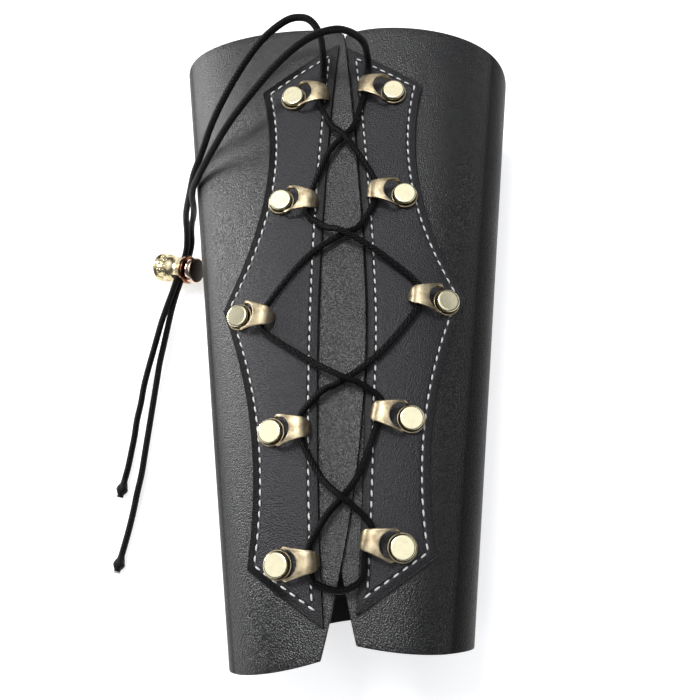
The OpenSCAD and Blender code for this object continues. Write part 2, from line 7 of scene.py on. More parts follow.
# %% Load the frame
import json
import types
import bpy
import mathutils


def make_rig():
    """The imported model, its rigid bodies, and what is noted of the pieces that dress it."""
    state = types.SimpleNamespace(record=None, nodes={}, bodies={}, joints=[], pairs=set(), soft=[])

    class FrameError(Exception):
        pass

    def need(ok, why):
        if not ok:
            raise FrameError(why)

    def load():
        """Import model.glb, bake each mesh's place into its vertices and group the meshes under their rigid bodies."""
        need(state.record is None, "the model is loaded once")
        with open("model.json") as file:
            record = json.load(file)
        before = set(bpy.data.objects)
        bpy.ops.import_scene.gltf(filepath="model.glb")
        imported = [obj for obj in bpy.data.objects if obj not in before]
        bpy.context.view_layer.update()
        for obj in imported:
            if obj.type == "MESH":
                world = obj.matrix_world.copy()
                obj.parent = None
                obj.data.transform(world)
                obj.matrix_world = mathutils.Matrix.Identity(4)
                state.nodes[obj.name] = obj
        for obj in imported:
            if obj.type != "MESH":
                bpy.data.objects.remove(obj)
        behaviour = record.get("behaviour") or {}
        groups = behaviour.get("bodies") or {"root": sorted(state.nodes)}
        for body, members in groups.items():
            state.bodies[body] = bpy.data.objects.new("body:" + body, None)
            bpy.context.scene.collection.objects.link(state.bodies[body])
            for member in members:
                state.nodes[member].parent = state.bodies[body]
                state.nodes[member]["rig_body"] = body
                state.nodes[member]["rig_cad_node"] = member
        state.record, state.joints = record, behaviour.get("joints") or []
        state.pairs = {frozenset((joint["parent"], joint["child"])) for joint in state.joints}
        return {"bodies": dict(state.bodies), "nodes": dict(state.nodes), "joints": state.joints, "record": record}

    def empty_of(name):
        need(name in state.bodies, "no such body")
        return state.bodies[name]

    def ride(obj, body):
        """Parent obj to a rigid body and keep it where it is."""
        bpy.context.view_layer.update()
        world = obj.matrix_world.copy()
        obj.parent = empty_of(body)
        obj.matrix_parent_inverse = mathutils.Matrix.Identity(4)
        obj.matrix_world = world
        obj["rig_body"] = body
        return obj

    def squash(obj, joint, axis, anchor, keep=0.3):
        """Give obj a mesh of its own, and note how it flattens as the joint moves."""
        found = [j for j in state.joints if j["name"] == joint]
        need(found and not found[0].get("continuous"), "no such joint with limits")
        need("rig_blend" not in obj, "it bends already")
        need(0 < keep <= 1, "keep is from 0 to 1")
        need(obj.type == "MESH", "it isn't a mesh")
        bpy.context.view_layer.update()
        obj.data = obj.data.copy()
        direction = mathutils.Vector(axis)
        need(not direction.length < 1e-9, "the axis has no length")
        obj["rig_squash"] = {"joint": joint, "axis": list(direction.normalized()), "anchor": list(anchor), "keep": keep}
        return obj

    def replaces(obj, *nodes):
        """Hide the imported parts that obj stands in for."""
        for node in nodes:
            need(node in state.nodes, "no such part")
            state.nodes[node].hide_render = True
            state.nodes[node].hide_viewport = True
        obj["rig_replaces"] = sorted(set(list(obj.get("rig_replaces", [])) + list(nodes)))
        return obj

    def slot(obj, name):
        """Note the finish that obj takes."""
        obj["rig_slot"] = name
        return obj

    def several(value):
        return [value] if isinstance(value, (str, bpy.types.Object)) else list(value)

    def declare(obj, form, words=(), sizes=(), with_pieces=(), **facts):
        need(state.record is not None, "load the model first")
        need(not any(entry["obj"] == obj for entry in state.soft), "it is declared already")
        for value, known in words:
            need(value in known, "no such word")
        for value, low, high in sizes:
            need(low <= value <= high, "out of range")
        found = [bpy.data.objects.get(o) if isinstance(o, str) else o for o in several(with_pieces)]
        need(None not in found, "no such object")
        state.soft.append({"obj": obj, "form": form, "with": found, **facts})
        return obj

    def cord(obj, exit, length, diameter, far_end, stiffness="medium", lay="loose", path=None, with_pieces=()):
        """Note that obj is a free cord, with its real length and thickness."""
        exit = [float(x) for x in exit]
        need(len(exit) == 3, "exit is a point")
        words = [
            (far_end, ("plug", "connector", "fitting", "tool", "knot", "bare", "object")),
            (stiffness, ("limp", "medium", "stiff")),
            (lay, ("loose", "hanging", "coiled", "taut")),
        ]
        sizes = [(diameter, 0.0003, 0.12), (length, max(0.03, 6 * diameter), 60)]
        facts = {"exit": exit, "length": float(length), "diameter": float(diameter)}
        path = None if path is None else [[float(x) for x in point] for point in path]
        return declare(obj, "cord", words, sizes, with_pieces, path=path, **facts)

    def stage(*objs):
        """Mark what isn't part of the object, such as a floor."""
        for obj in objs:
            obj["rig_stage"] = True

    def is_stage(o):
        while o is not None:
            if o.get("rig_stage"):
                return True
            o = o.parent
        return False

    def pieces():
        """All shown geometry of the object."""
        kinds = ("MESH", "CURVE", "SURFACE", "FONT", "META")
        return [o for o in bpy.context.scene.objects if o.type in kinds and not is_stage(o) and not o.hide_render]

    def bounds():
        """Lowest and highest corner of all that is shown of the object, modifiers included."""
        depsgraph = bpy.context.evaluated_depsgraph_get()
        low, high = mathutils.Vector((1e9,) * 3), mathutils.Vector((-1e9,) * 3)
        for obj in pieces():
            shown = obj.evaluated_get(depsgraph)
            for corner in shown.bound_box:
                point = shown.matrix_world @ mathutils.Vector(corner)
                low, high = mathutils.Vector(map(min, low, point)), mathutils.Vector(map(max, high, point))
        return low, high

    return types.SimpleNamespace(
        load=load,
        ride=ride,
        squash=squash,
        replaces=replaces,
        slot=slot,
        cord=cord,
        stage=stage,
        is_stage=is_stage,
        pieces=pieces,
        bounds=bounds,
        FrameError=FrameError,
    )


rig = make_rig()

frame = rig.load()

import json
import math
import random

import bmesh
import bpy
from mathutils import Matrix, Vector, kdtree

cad_box = [list(corner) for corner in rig.bounds()]
joints = {joint["name"]: joint for joint in frame["joints"]}
print("nodes in the frame:", len(frame["nodes"]))

# %% [markdown]
# The camera looks down from above the wrist end. It could be aimed at a target, but it also leans a
# little to one side, so all three of its directions are needed. They were found once, by a least
# squares fit to the outline of the sleeve and the rivets, and are written here as a fixed seat.

# %% Camera
CAMERA_AT = Vector((0.0260, -0.0941, 0.3319))
CAMERA_RIGHT = Vector((0.99591, -0.00855, -0.08994))
CAMERA_UP = Vector((0.03449, 0.95610, 0.29101))
CAMERA_LENS, NEAR_CLIP = 38.57, 0.01

camera = bpy.data.objects.new("camera", bpy.data.cameras.new("camera"))
bpy.context.scene.collection.objects.link(camera)
camera.data.lens = CAMERA_LENS
camera.data.clip_start = NEAR_CLIP
turn = Matrix((CAMERA_RIGHT, CAMERA_UP, CAMERA_RIGHT.cross(CAMERA_UP))).transposed()
camera.matrix_world = Matrix.Translation(CAMERA_AT) @ turn.to_4x4()
bpy.context.scene.camera = camera
print("camera height, mm:", round(CAMERA_AT.z * 1000))

# %% [markdown]
# The guard is a tapered tube whose section is between an oval and a rounded box. A lattice or a curve
# modifier could bend flat pieces round it, but then rivets and cord would have to be seated by eye.
# Here a place is given by w, the way round from the middle of the top, and y, the way up from the wrist,
# both in millimetres. A few functions turn it into a point in space, h above the leather, for every
# piece alike.

# %% The round form
MM = 0.001
GUARD_LEN, ELBOW_W, ELBOW_D, WRIST_W, WRIST_D = 240.0, 144.0, 75.0, 88.0, 76.0
SECTION_POWER, ROUND_STEPS = 2.6, 4
SHELL_T, PANEL_T, SKIN_GAP, REST_FLAT = 2.0, 2.0, 0.2, 0.6
LEFT, RIGHT = -1, 1
SIDES = ((LEFT, "left"), (RIGHT, "right"))


def mix(a, b, t):
    """The value that lies a share t of the way from a to b."""
    return a + (b - a) * t


def smooth(t):
    """A soft step from 0 to 1 while t goes from 0 to 1."""
    t = min(1.0, max(0.0, t))
    return t * t * (3 - 2 * t)


def half_w(y):
    """Half the width of the guard at y."""
    return mix(WRIST_W, ELBOW_W, y / GUARD_LEN) / 2


def half_d(y):
    """Half the depth of the guard at y."""
    return mix(WRIST_D, ELBOW_D, y / GUARD_LEN) / 2


def ring_at(angle, y):
    """The point of the section at an angle round from the top, as x and height over the middle."""
    sine, cosine = math.sin(angle), math.cos(angle)
    stretch = (abs(sine) ** SECTION_POWER + abs(cosine) ** SECTION_POWER) ** (-1 / SECTION_POWER)
    return half_w(y) * sine * stretch, half_d(y) * cosine * stretch


def ring_step(angle, y):
    """The way that the section runs over one degree."""
    half = math.radians(0.5)
    (x1, z1), (x2, z2) = ring_at(angle - half, y), ring_at(angle + half, y)
    return x2 - x1, z2 - z1


def angle_at(w, y):
    """The angle round from the top that is w millimetres along the section, found in a few steps."""
    angle, degree = 0.0, math.radians(1)
    for _ in range(ROUND_STEPS):
        middle = angle + degree * w / (2 * ROUND_STEPS) / math.hypot(*ring_step(angle, y))
        angle += degree * w / ROUND_STEPS / math.hypot(*ring_step(middle, y))
    return angle


def place_at(angle, y, h):
    """A point in metres at that angle, y up from the wrist and h above the surface."""
    x, z = ring_at(angle, y)
    run, rise = ring_step(angle, y)
    out = Vector((-rise, 0, run)).normalized()
    return (Vector((x, y - GUARD_LEN / 2, half_d(y) - REST_FLAT + z)) + out * h) * MM


print("height of the middle of the top, mm:", round(place_at(0, GUARD_LEN / 2, 0).z / MM, 1))

# %% [markdown]
# The slit is not straight. Both flap edges are shallow bows that cross at the elbow and part in a notch
# at the wrist. The left flap lies on the right one, so it has to ride up over it. Two sheets could be
# laid on each other by a cloth simulation, but a smooth rise near the edge gives the same step at once.

# %% The slit and the overlap
SLIT_START, SLIT_DRIFT = -0.5, 3.0
FLAP_LAP, FLAP_LAP_Y, NOTCH_HALF, LAP_POWER = 8.6, 116.0, 6.5, 1.5
PANEL_LEAN = 1.0
LIFT, LAP_MARGIN, LAP_BLEND = SHELL_T + SKIN_GAP, 2.0, 62.0
FLAP_SHIFT = 2.0


def slit_w(y):
    """Where the slit line runs at y. It drifts a little to the right towards the elbow."""
    return SLIT_START + SLIT_DRIFT * y / GUARD_LEN


def lap(y):
    """How far each flap reaches past the slit line. It is less than nothing in the notch."""
    if y > FLAP_LAP_Y:
        return FLAP_LAP * (1 - ((y - FLAP_LAP_Y) / (GUARD_LEN - FLAP_LAP_Y)) ** LAP_POWER)
    return FLAP_LAP - (FLAP_LAP + NOTCH_HALF) * ((FLAP_LAP_Y - y) / FLAP_LAP_Y) ** 2


def raise_left(angle, y):
    """How far the left flap is raised there, to lie on the right one."""
    full = angle_at(slit_w(y) - lap(y) - LAP_MARGIN, y)
    start = angle_at(slit_w(y) - lap(y) - LAP_MARGIN - LAP_BLEND, y)
    return LIFT * smooth((angle - start) / (full - start))


def on_leather(side, w, y, h):
    """A point over the leather of one side, on top of the raised flap where that is."""
    angle = angle_at(w, y)
    return place_at(angle, y, h + (raise_left(angle, y) if side == LEFT else 0))


def shifted(side, y):
    """The flaps were drawn together a little askew, so each side's heights are moved by a share."""
    return y + side * FLAP_SHIFT * (1 - y / GUARD_LEN)


print("lap in the middle, mm:", round(lap(FLAP_LAP_Y), 1))

# %% [markdown]
# Every piece goes through the same few steps: its sharp edges are chosen and rounded, points that fell
# together are merged, and the bmesh becomes an object that rides on its body. A bevel modifier could
# round the edges too, but a bevel in the mesh happens in the flat pattern, before the piece is bent. A
# rounding of a fraction of a millimetre is what makes cut leather and cast metal catch the light.

# %% Helpers for pieces
def finish_piece(name, mesh_builder, body, node=()):
    """An object from a finished bmesh. It rides on a body and stands in for the nodes that are named."""
    mesh = bpy.data.meshes.new(name)
    mesh_builder.to_mesh(mesh)
    mesh_builder.free()
    mesh.shade_smooth()
    piece = bpy.data.objects.new(name, mesh)
    bpy.context.scene.collection.objects.link(piece)
    if node:
        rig.replaces(piece, *node)
    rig.ride(piece, body)
    return piece


def sharp_edges(builder, least):
    """The edges whose two faces meet at more than that many degrees."""
    builder.normal_update()
    return [edge for edge in builder.edges
            if len(edge.link_faces) == 2 and edge.calc_face_angle(0) > math.radians(least)]


def round_edges(builder, width, least, segments=3):
    """Rounds the sharp edges by that width."""
    bmesh.ops.bevel(builder, geom=sharp_edges(builder, least), offset=width, offset_type="OFFSET",
                    affect="EDGES", segments=segments, profile=0.5, material=-1)


def merge(builder, distance=1e-6):
    """Joins the points that fell together."""
    bmesh.ops.remove_doubles(builder, verts=builder.verts, dist=distance)


print("sides of the guard:", [word for _, word in SIDES])

# %% [markdown]
# Ten lace loops are riveted to the panels, five a side, and no two are turned quite alike. Each could be
# placed by hand. A seat worked out from the round form is better, because the loop, its rivet and the
# cord through it all share it. The last lines measure the seats against the joints of the frame.

# %% Seats of the loops
ROWS, FIRST_ROW, ROW_PITCH = 5, 33.0, 44.0
RIVET_W = (19.5, 23, 37.4, 23.7, 20)
RISE = {LEFT: (0, -1, -1, -0.7, -0.6), RIGHT: (1, -0.9, 0.4, 0.4, 1)}
TILT = {LEFT: (-3, -8, -9, 3, 4), RIGHT: (10, 5, 6, 10, 12)}
FOOT_R, FOOT_T, FOOT_GAP = 5.0, 0.8, 0.15
LOOP_REACH, ARCH_H, ARCH_WALL = 14.4, 5.6, 1.1
LOOP_MID = (LOOP_REACH - FOOT_R) / 2
SKIN_STEP = 2


def seat_y(side, row):
    """How far up from the wrist a rivet sits. Row 1 is nearest to the elbow."""
    return shifted(side, FIRST_ROW + (ROWS - row) * ROW_PITCH) + RISE[side][row - 1]


def loop_seat(side, row):
    """A matrix in metres: its origin on the rivet's axis, x towards the closed end and z outwards."""
    y = seat_y(side, row)
    w = slit_w(y) + side * RIVET_W[row - 1]
    angle = angle_at(w - side * LOOP_MID, y)
    step = math.radians(SKIN_STEP)

    def skin(a, b):
        return place_at(a, b, PANEL_T + SKIN_GAP + (raise_left(a, b) if side == LEFT else 0))

    across = (skin(angle + step, y) - skin(angle - step, y)).normalized()
    ahead = (skin(angle, y + 1) - skin(angle, y - 1)).normalized()
    out = across.cross(ahead).normalized()
    level = out.cross(across)
    turn = math.radians(TILT[LEFT][row - 1] if side == LEFT else 180 - TILT[RIGHT][row - 1])
    x_axis = across * math.cos(turn) + level * math.sin(turn)
    y_axis = level * math.cos(turn) - across * math.sin(turn)
    origin = skin(angle, y) + out * FOOT_GAP * MM + across * side * LOOP_MID * MM
    columns = Matrix((x_axis, y_axis, out)).transposed().to_4x4()
    return Matrix.Translation(origin) @ columns


def in_seat(seat, x, y, z):
    """A point that is given in a loop's own millimetres."""
    return seat @ Vector((x * MM, y * MM, z * MM))


furthest = max((loop_seat(side, row).translation
                - Vector(joints[f"{word}_loop_{row}_swivel"]["pos_m"])).length
               for side, word in SIDES for row in range(1, ROWS + 1))
print("seats away from the joints by at most, mm:", round(furthest / MM, 4))

# %% [markdown]
# One cord is laced from the top left loop down to the bottom, across, and up again to the top right. It
# passes each loop close to the nose of the arch, and each crossing has a strand above and one below. A
# rope simulation would find its own way, but not the photographed one, so the route is a list of points:
# three in every loop, three in every strand between two loops, and a low arc at the wrist.

# %% Route of the lacing
LACE_D, TAIL_D = 2.3, 2.8
NOSE_GAP, FLOOR_GAP = 0.6, 0.5
LACE_X = LOOP_REACH - ARCH_WALL - LACE_D / 2 - NOSE_GAP
LACE_Z = LACE_D / 2 + FLOOR_GAP
LACE_RUN, LACE_BOW = 5.2, 2.6
LACE_ORDER = ((LEFT, 1), (RIGHT, 2), (LEFT, 3), (RIGHT, 4), (LEFT, 5),
              (RIGHT, 5), (LEFT, 4), (RIGHT, 3), (LEFT, 2), (RIGHT, 1))
UNDER_H, OVER_H = (6.1, 5.0, 4.6), (6.6, 7.7, 5.6)
LOW_ARC = ((-7, 24.5, 6.3), (0.5, 22.5, 5.4), (7, 26, 4.8))


def through(stop, down):
    """Three points of the cord inside one loop, in the order in which the cord passes them."""
    seat = loop_seat(*stop)
    first = (1 if down else -1) * (1 if stop[0] == LEFT else -1) * LACE_RUN
    return [in_seat(seat, LACE_X, y, LACE_Z) for y in (first, 0, -first)]


def mouth(stop, down):
    """Where the cord leaves a loop, as a place on the leather."""
    y = seat_y(*stop)
    w = slit_w(y) + stop[0] * (RIVET_W[stop[1] - 1] - LACE_X)
    return w, y + (-1 if down else 1) * LACE_RUN


def strand(start, end, down):
    """The three points of a strand between two rows: near its loop, at the crossing, near the next."""
    (w1, y1), (w2, y2) = mouth(start, down), mouth(end, not down)
    cut = (slit_w((y1 + y2) / 2) - w1) / (w2 - w1)
    heights = OVER_H if (start[0] == LEFT) == down else UNDER_H
    near, far = (heights[0], heights[2]) if start[0] == LEFT else (heights[2], heights[0])
    bow = -LACE_BOW if down else LACE_BOW
    points = []
    for t, sag, h in ((cut / 2, bow, near), (cut, 0, heights[1]), ((1 + cut) / 2, -bow, far)):
        y = mix(y1, y2, t) + sag
        points.append(place_at(angle_at(mix(w1, w2, t), y), y, h))
    return points


lace_route = []
for k, stop in enumerate(LACE_ORDER):
    down = k < ROWS
    lace_route += through(stop, down)
    if k == ROWS - 1:
        lace_route += [place_at(angle_at(w, y), y, h) for w, y, h in LOW_ARC]
    elif k + 1 < len(LACE_ORDER):
        lace_route += strand(stop, LACE_ORDER[k + 1], down)
print("points of the lacing:", len(lace_route))

# %% [markdown]
# The free ends leave the top loops, stand in a stiff arc, fall over the left shoulder, run side by side
# through the cord lock and end in knots on the table. They could be left to a simulation, but they have
# to pass the slot of the lock, so their points are the construction model's own, in millimetres. Most
# were chosen one by one, but from its sixth point on each fall was then moved by a least squares fit, to
# follow the photograph, run smoothly and keep clear of the leather and of the other cord. The lock leans
# on the table, and its own three directions are worked out first.

# %% Route of the free ends
CORD_GAP, TAIL_LEAD = 0.3, 4.0
CORD_STEP = (TAIL_D + CORD_GAP) / 2
LOCK_RUN = (8, 1, -6, -12.5)
LOCK_AT = Vector((-82, 48, 10)) * MM
LOCK_TURN, LOCK_TILT = math.radians(15), math.radians(16)
lock_axis = Vector((math.cos(LOCK_TURN) * math.cos(LOCK_TILT),
                    -math.sin(LOCK_TURN) * math.cos(LOCK_TILT), math.sin(LOCK_TILT)))
upstream = Vector((math.sin(LOCK_TURN), math.cos(LOCK_TURN), 0))
lock_up = lock_axis.cross(upstream)
LEFT_FALL = ((-5, 102.5, 88), (-6, 109, 91.5), (-10, 114, 93.5), (-16.5, 115, 93.5), (-23, 112, 92.5),
             (-29.1, 107.7, 90.6), (-34.7, 102.5, 87.9), (-39.9, 97, 84.7), (-44.9, 91.3, 81),
             (-49.5, 85.9, 76.9), (-53.5, 81.1, 72.3), (-57, 76.9, 67.3), (-60.5, 73.7, 62.1),
             (-64, 71.3, 56.4), (-66.9, 69.7, 50.1), (-69.7, 68.6, 43.5), (-72.5, 67.8, 36.9),
             (-75, 66.7, 30.5), (-76.8, 65.6, 24.4), (-78.1, 63.8, 18.8), (-79.2, 60.7, 14.3))
RIGHT_FALL = ((12, 103, 85), (11, 105, 89.5), (7.5, 105.5, 94), (2, 105, 97.5), (-5, 103, 98.5),
              (-11.6, 99.7, 98.2), (-18.1, 95.5, 96.6), (-24.8, 90.5, 94), (-31.3, 85.4, 90.6),
              (-37.4, 80.8, 86.8), (-43, 76.7, 82.5), (-48, 73, 77.6), (-52.7, 70, 72.3), (-57, 67.9, 66.7),
              (-60.9, 66.6, 60.7), (-64.6, 65.8, 54.3), (-67.2, 65.5, 47.1), (-68.9, 65.6, 39.4),
              (-71, 66.4, 31.9), (-73.4, 67.1, 24.8), (-75.9, 66.8, 18.7), (-77.5, 65, 13.4),
              (-78.3, 61.4, 9.7))
LEFT_END = ((-88, 29, 11), (-90.5, 21.5, 10), (-92.5, 14, 9), (-94.5, 6.5, 8), (-96.5, -1, 7),
            (-98, -8.5, 6.5), (-99, -16, 6), (-100.4, -23.5, 5.5), (-101.2, -31, 5), (-102.5, -38, 4),
            (-103.6, -44.5, 3.5), (-104.8, -50.5, 3.5))
RIGHT_END = ((-86.5, 28, 8.5), (-88, 20, 8), (-89.5, 11.5, 7.5), (-91, 3, 7), (-92, -5.5, 6.5),
             (-93, -14, 6), (-94, -22.5, 5.5), (-95, -31, 5), (-96, -39.5, 4.5), (-97, -48, 4),
             (-98.4, -56.5, 4), (-99.8, -65, 3.5), (-101.4, -73.8, 3.5), (-103.4, -82.8, 3.5))


def in_lock(x, y, z):
    """A point near the lock, x along its axis and y up along the cords."""
    return LOCK_AT + (lock_axis * x + upstream * y + lock_up * z) * MM


def free_end(start, before, fall, height, end):
    """A free end from its loop to its knot. height is where it lies in the lock's slot."""
    lead = start + (start - before).normalized() * TAIL_LEAD * MM
    straight = [in_lock(0, y, height) for y in LOCK_RUN]
    return [start, lead] + [Vector(p) * MM for p in fall] + straight + [Vector(p) * MM for p in end]


left_route = free_end(lace_route[0], lace_route[1], LEFT_FALL, CORD_STEP, LEFT_END)
right_route = free_end(lace_route[-1], lace_route[-2], RIGHT_FALL, -CORD_STEP, RIGHT_END)
print("points of the free ends:", len(left_route), len(right_route))

# %% [markdown]
# The routes are still corners joined by straight legs. A Bezier curve would need handles at every point.
# A Catmull-Rom curve needs none and still passes through each of them, so it turns the points into a
# smooth line. Its length is the real length of that stretch of cord.

# %% Smooth lines
CURVE_STEPS = 8


def curve_through(points, steps):
    """Catmull-Rom curve, with the given number of even steps between neighbouring points."""
    padded = [2 * points[0] - points[1]] + points + [2 * points[-1] - points[-2]]
    line = []
    for a, b, c, d in zip(padded, padded[1:], padded[2:], padded[3:]):
        for k in range(steps):
            t = k / steps
            line.append(0.5 * (2 * b + (c - a) * t + (2 * a - 5 * b + 4 * c - d) * t * t
                               + (3 * b - a - 3 * c + d) * t ** 3))
    return line + [points[-1]]


def length_of(line):
    """The length along a line of points."""
    return sum((b - a).length for a, b in zip(line, line[1:]))


left_line, right_line = curve_through(left_route, CURVE_STEPS), curve_through(right_route, CURVE_STEPS)
lace_line = curve_through(lace_route, CURVE_STEPS)
for name, line in (("lacing", lace_line), ("left end", left_line), ("right end", right_line)):
    print(name, "length, mm:", round(length_of(line) / MM, 1))

# %% [markdown]
# A cord is a round tube along its line. It could be a ring of points spun and bridged from place to
# place, which twists in tight bends. A curve with a round bevel does not, and turning the curve into a
# mesh keeps a UV map that runs along and around the cord, which the braid follows later.

# %% Cord tubes
CORD_FACETS = 4


def cord_tube(name, line, diameter):
    """A mesh tube along a line, with a UV map: one way along the cord, the other way round it."""
    curve = bpy.data.curves.new(name, "CURVE")
    curve.dimensions = "3D"
    curve.bevel_depth = diameter / 2
    curve.bevel_resolution = CORD_FACETS
    curve.use_fill_caps = True
    spline = curve.splines.new("POLY")
    spline.points.add(len(line) - 1)
    for point, place in zip(spline.points, line):
        point.co = (*place, 1)
    shaper = bpy.data.objects.new(name, curve)
    bpy.context.scene.collection.objects.link(shaper)
    mesh = bpy.data.meshes.new_from_object(shaper.evaluated_get(bpy.context.evaluated_depsgraph_get()))
    bpy.data.objects.remove(shaper)
    builder = bmesh.new()
    builder.from_mesh(mesh)
    bpy.data.meshes.remove(mesh)
    return builder


lacing = finish_piece("lacing", cord_tube("lacing", lace_line, LACE_D * MM), "guard", ["laced_cord"])
left_cord = finish_piece("left_cord", cord_tube("left_cord", left_line, TAIL_D * MM), "guard", ["left_tail"])
right_cord = finish_piece("right_cord", cord_tube("right_cord", right_line, TAIL_D * MM), "guard",
                          ["right_tail"])
for piece in (lacing, left_cord, right_cord):
    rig.slot(piece, "cord")
    print(piece.name, "faces:", len(piece.data.polygons), "uv maps:", len(piece.data.uv_layers))

# %% [markdown]
# Every leather piece is drawn as a flat pattern first: x is the way round, y the way up and z the height,
# all in millimetres. There it gets its thickness and its rounded cut edges, as leather does on the bench,
# and only then it is wrapped round the arm. Thickness could be added after the wrapping, but then the
# wall would follow each facet. The inner side gets the second material, the flesh side.

# %% From flat pattern to leather
EDGE_ROUND, CUT_ANGLE, FLESH_WAY = 0.45, 40, -0.5


def flat_sheet(columns, rows, place):
    """A grid in the flat pattern. place turns two shares, across and up, into a point of the pattern."""
    builder = bmesh.new()
    bmesh.ops.create_grid(builder, x_segments=columns, y_segments=rows, size=0.5)
    for vert in builder.verts:
        vert.co = place(vert.co.x + 0.5, vert.co.y + 0.5)
    builder.normal_update()
    if sum(face.normal.z for face in builder.faces) < 0:
        bmesh.ops.reverse_faces(builder, faces=builder.faces)
    return builder


def cut_from_hide(builder, thickness):
    """Thickness below the pattern, rounded edges, and the flesh side marked as the second material."""
    below = bmesh.ops.extrude_face_region(builder, geom=builder.faces[:])
    for vert in (item for item in below["geom"] if isinstance(item, bmesh.types.BMVert)):
        vert.co.z += thickness
    for vert in builder.verts:
        vert.co.z -= thickness
    bmesh.ops.recalc_face_normals(builder, faces=builder.faces)
    round_edges(builder, EDGE_ROUND, CUT_ANGLE)
    builder.normal_update()
    for face in builder.faces:
        face.material_index = 1 if face.normal.z < FLESH_WAY else 0


def wrap(builder, place):
    """Moves every point of a flat pattern to its place in space."""
    for vert in builder.verts:
        vert.co = place(vert.co)


print("rounding of cut leather, mm:", EDGE_ROUND)

# %% [markdown]
# The hems at both ends of the sleeve are not straight. The elbow end is bowed at the flaps and slants
# from side to side, and the wrist end is hollow below and has its flap corners cut back. The sleeve could
# be cut to them with a boolean, which leaves ragged facets. Here each hem is a height that depends on u,
# the share of the way round, and the pattern is stretched between the two.

# %% Hems of the sleeve
ELBOW_SLANT, ELBOW_BOW, BOW_SHARE, ELBOW_SHIFT, SHIFT_POWER = 6.5, 4.5, 0.25, 0.6, 6
WRIST_SLANT, WRIST_DIP, HEM_DROP, HEM_SHIFT, CORNER_CUT, CORNER_REACH = 2.0, 11.0, 1.0, 2.2, 4.3, 30.0


def wrist_hem(u):
    """The height of the wrist hem: slanted, hollow below, and cut back at the flap corners."""
    away = min(u, 1 - u) * math.pi * (WRIST_W + WRIST_D) / 2
    shift = (HEM_SHIFT if u < 0.5 else -HEM_SHIFT) * math.cos(math.pi * u) ** 2
    dip = WRIST_DIP * max(0, -math.cos(2 * math.pi * u)) ** 2
    cut = CORNER_CUT * max(0, 1 - away / CORNER_REACH) ** 2
    return WRIST_SLANT * math.sin(2 * math.pi * u) - HEM_DROP + shift + cut + dip


def elbow_hem(u):
    """The height of the elbow hem: slanted, and bowed at the flaps."""
    side = math.sin(2 * math.pi * u)
    bow = ELBOW_BOW * math.sin(math.pi * math.sqrt(max(0, min(u, 1 - u, BOW_SHARE)) / BOW_SHARE))
    shift = (ELBOW_SHIFT if u < 0.5 else -ELBOW_SHIFT) * max(0, math.cos(2 * math.pi * u)) ** SHIFT_POWER
    return GUARD_LEN - ELBOW_SLANT * side * abs(side) + bow + shift


print("length of the back, mm:", round(elbow_hem(0.5) - wrist_hem(0.5), 1))

# %% [markdown]
# The sleeve is one sheet that goes all the way round. Its columns stand closer together towards the flap
# edges, where the leather is raised. Each point keeps a number for how far up it faces, a share more on
# the left half. The leather turns it into painted light: a painted sheen on the top and the left, and
# painted shade on the sides, whose gloss is taken away. Painting a map by hand would do the same, but
# this one follows the shape by itself.

# %% Sleeve
AROUND, ALONG = 200, 70
PATTERN_W = 330.0
# The second number is a share of painted sheen for the left half of the sleeve.
CROWDING, LEFT_PAINTED_SHEEN = 0.5, 0.15


def shell_place(flat):
    """A point of the wrapped sleeve. The back never goes below the table."""
    share = flat.x / PATTERN_W
    u = share - CROWDING * math.sin(2 * math.pi * share) / (2 * math.pi)
    y = mix(wrist_hem(u), elbow_hem(u), flat.y / GUARD_LEN)
    first = angle_at(slit_w(y) - lap(y), y)
    last = 2 * math.pi + angle_at(slit_w(y) + lap(y), y)
    angle = mix(first, last, u)
    up = raise_left(angle - 2 * math.pi, y) if u > 0.5 else 0
    point = place_at(angle, y, flat.z + up)
    point.z = max(0, point.z)
    return point


sleeve = flat_sheet(AROUND, ALONG, lambda s, t: Vector((s * PATTERN_W, t * GUARD_LEN, 0)))
cut_from_hide(sleeve, SHELL_T)
wrap(sleeve, shell_place)
painted_sheen_mask = sleeve.verts.layers.float.new("painted_sheen_mask")
sleeve.normal_update()
for vert in sleeve.verts:
    # Painted light: how far up the point faces, plus a share on the left half for a painted sheen there.
    vert[painted_sheen_mask] = min(1, abs(vert.normal.z) + (LEFT_PAINTED_SHEEN if vert.co.x <= 0 else 0))
shell = finish_piece("shell_hide", sleeve, "guard", ["shell"])
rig.slot(shell, "leather")
print("shell faces:", len(shell.data.polygons))

# %% [markdown]
# The two lacing panels carry the rivets. A panel's outer edge is two hollow curves that meet in a wing
# point, with short slanted ends, and its inner edge runs along the gap. The outline could be traced as a
# drawing, but as two functions of the height it is a cutting pattern that both sides share.

# %% Outline of the panels
WING_W, WING_Y = 46.2, 124.5
UPPER_WAIST, UPPER_WAIST_Y, LOWER_WAIST, LOWER_WAIST_Y = 28.5, 186.0, 30.2, 54.0
TOP_Y, PEAK_Y, LOW_Y, TIP_Y = 215.0, 234.0, 31.0, 13.0
PEAK_W, TIP_W = 1.6, 5.6
GAP_HALF, GAP_END, GAP_BOW_Y, EDGE_GAP = 8.0, 1.0, 100.0, 0.3
LEAST_W = 0.4


def hollow(y, waist, waist_y):
    """An arc that is narrowest at the waist and passes through the wing point."""
    rise, run = WING_W - waist, WING_Y - waist_y
    r = (rise * rise + run * run) / (2 * rise)
    return waist + r - math.sqrt(r * r - (y - waist_y) ** 2)


def panel_outer(y):
    """How far a panel reaches from the slit line."""
    if y > TOP_Y:
        return mix(hollow(TOP_Y, UPPER_WAIST, UPPER_WAIST_Y), PEAK_W, (y - TOP_Y) / (PEAK_Y - TOP_Y))
    if y > WING_Y:
        return hollow(y, UPPER_WAIST, UPPER_WAIST_Y)
    if y > LOW_Y:
        return hollow(y, LOWER_WAIST, LOWER_WAIST_Y)
    return mix(TIP_W, hollow(LOW_Y, LOWER_WAIST, LOWER_WAIST_Y), (y - TIP_Y) / (LOW_Y - TIP_Y))


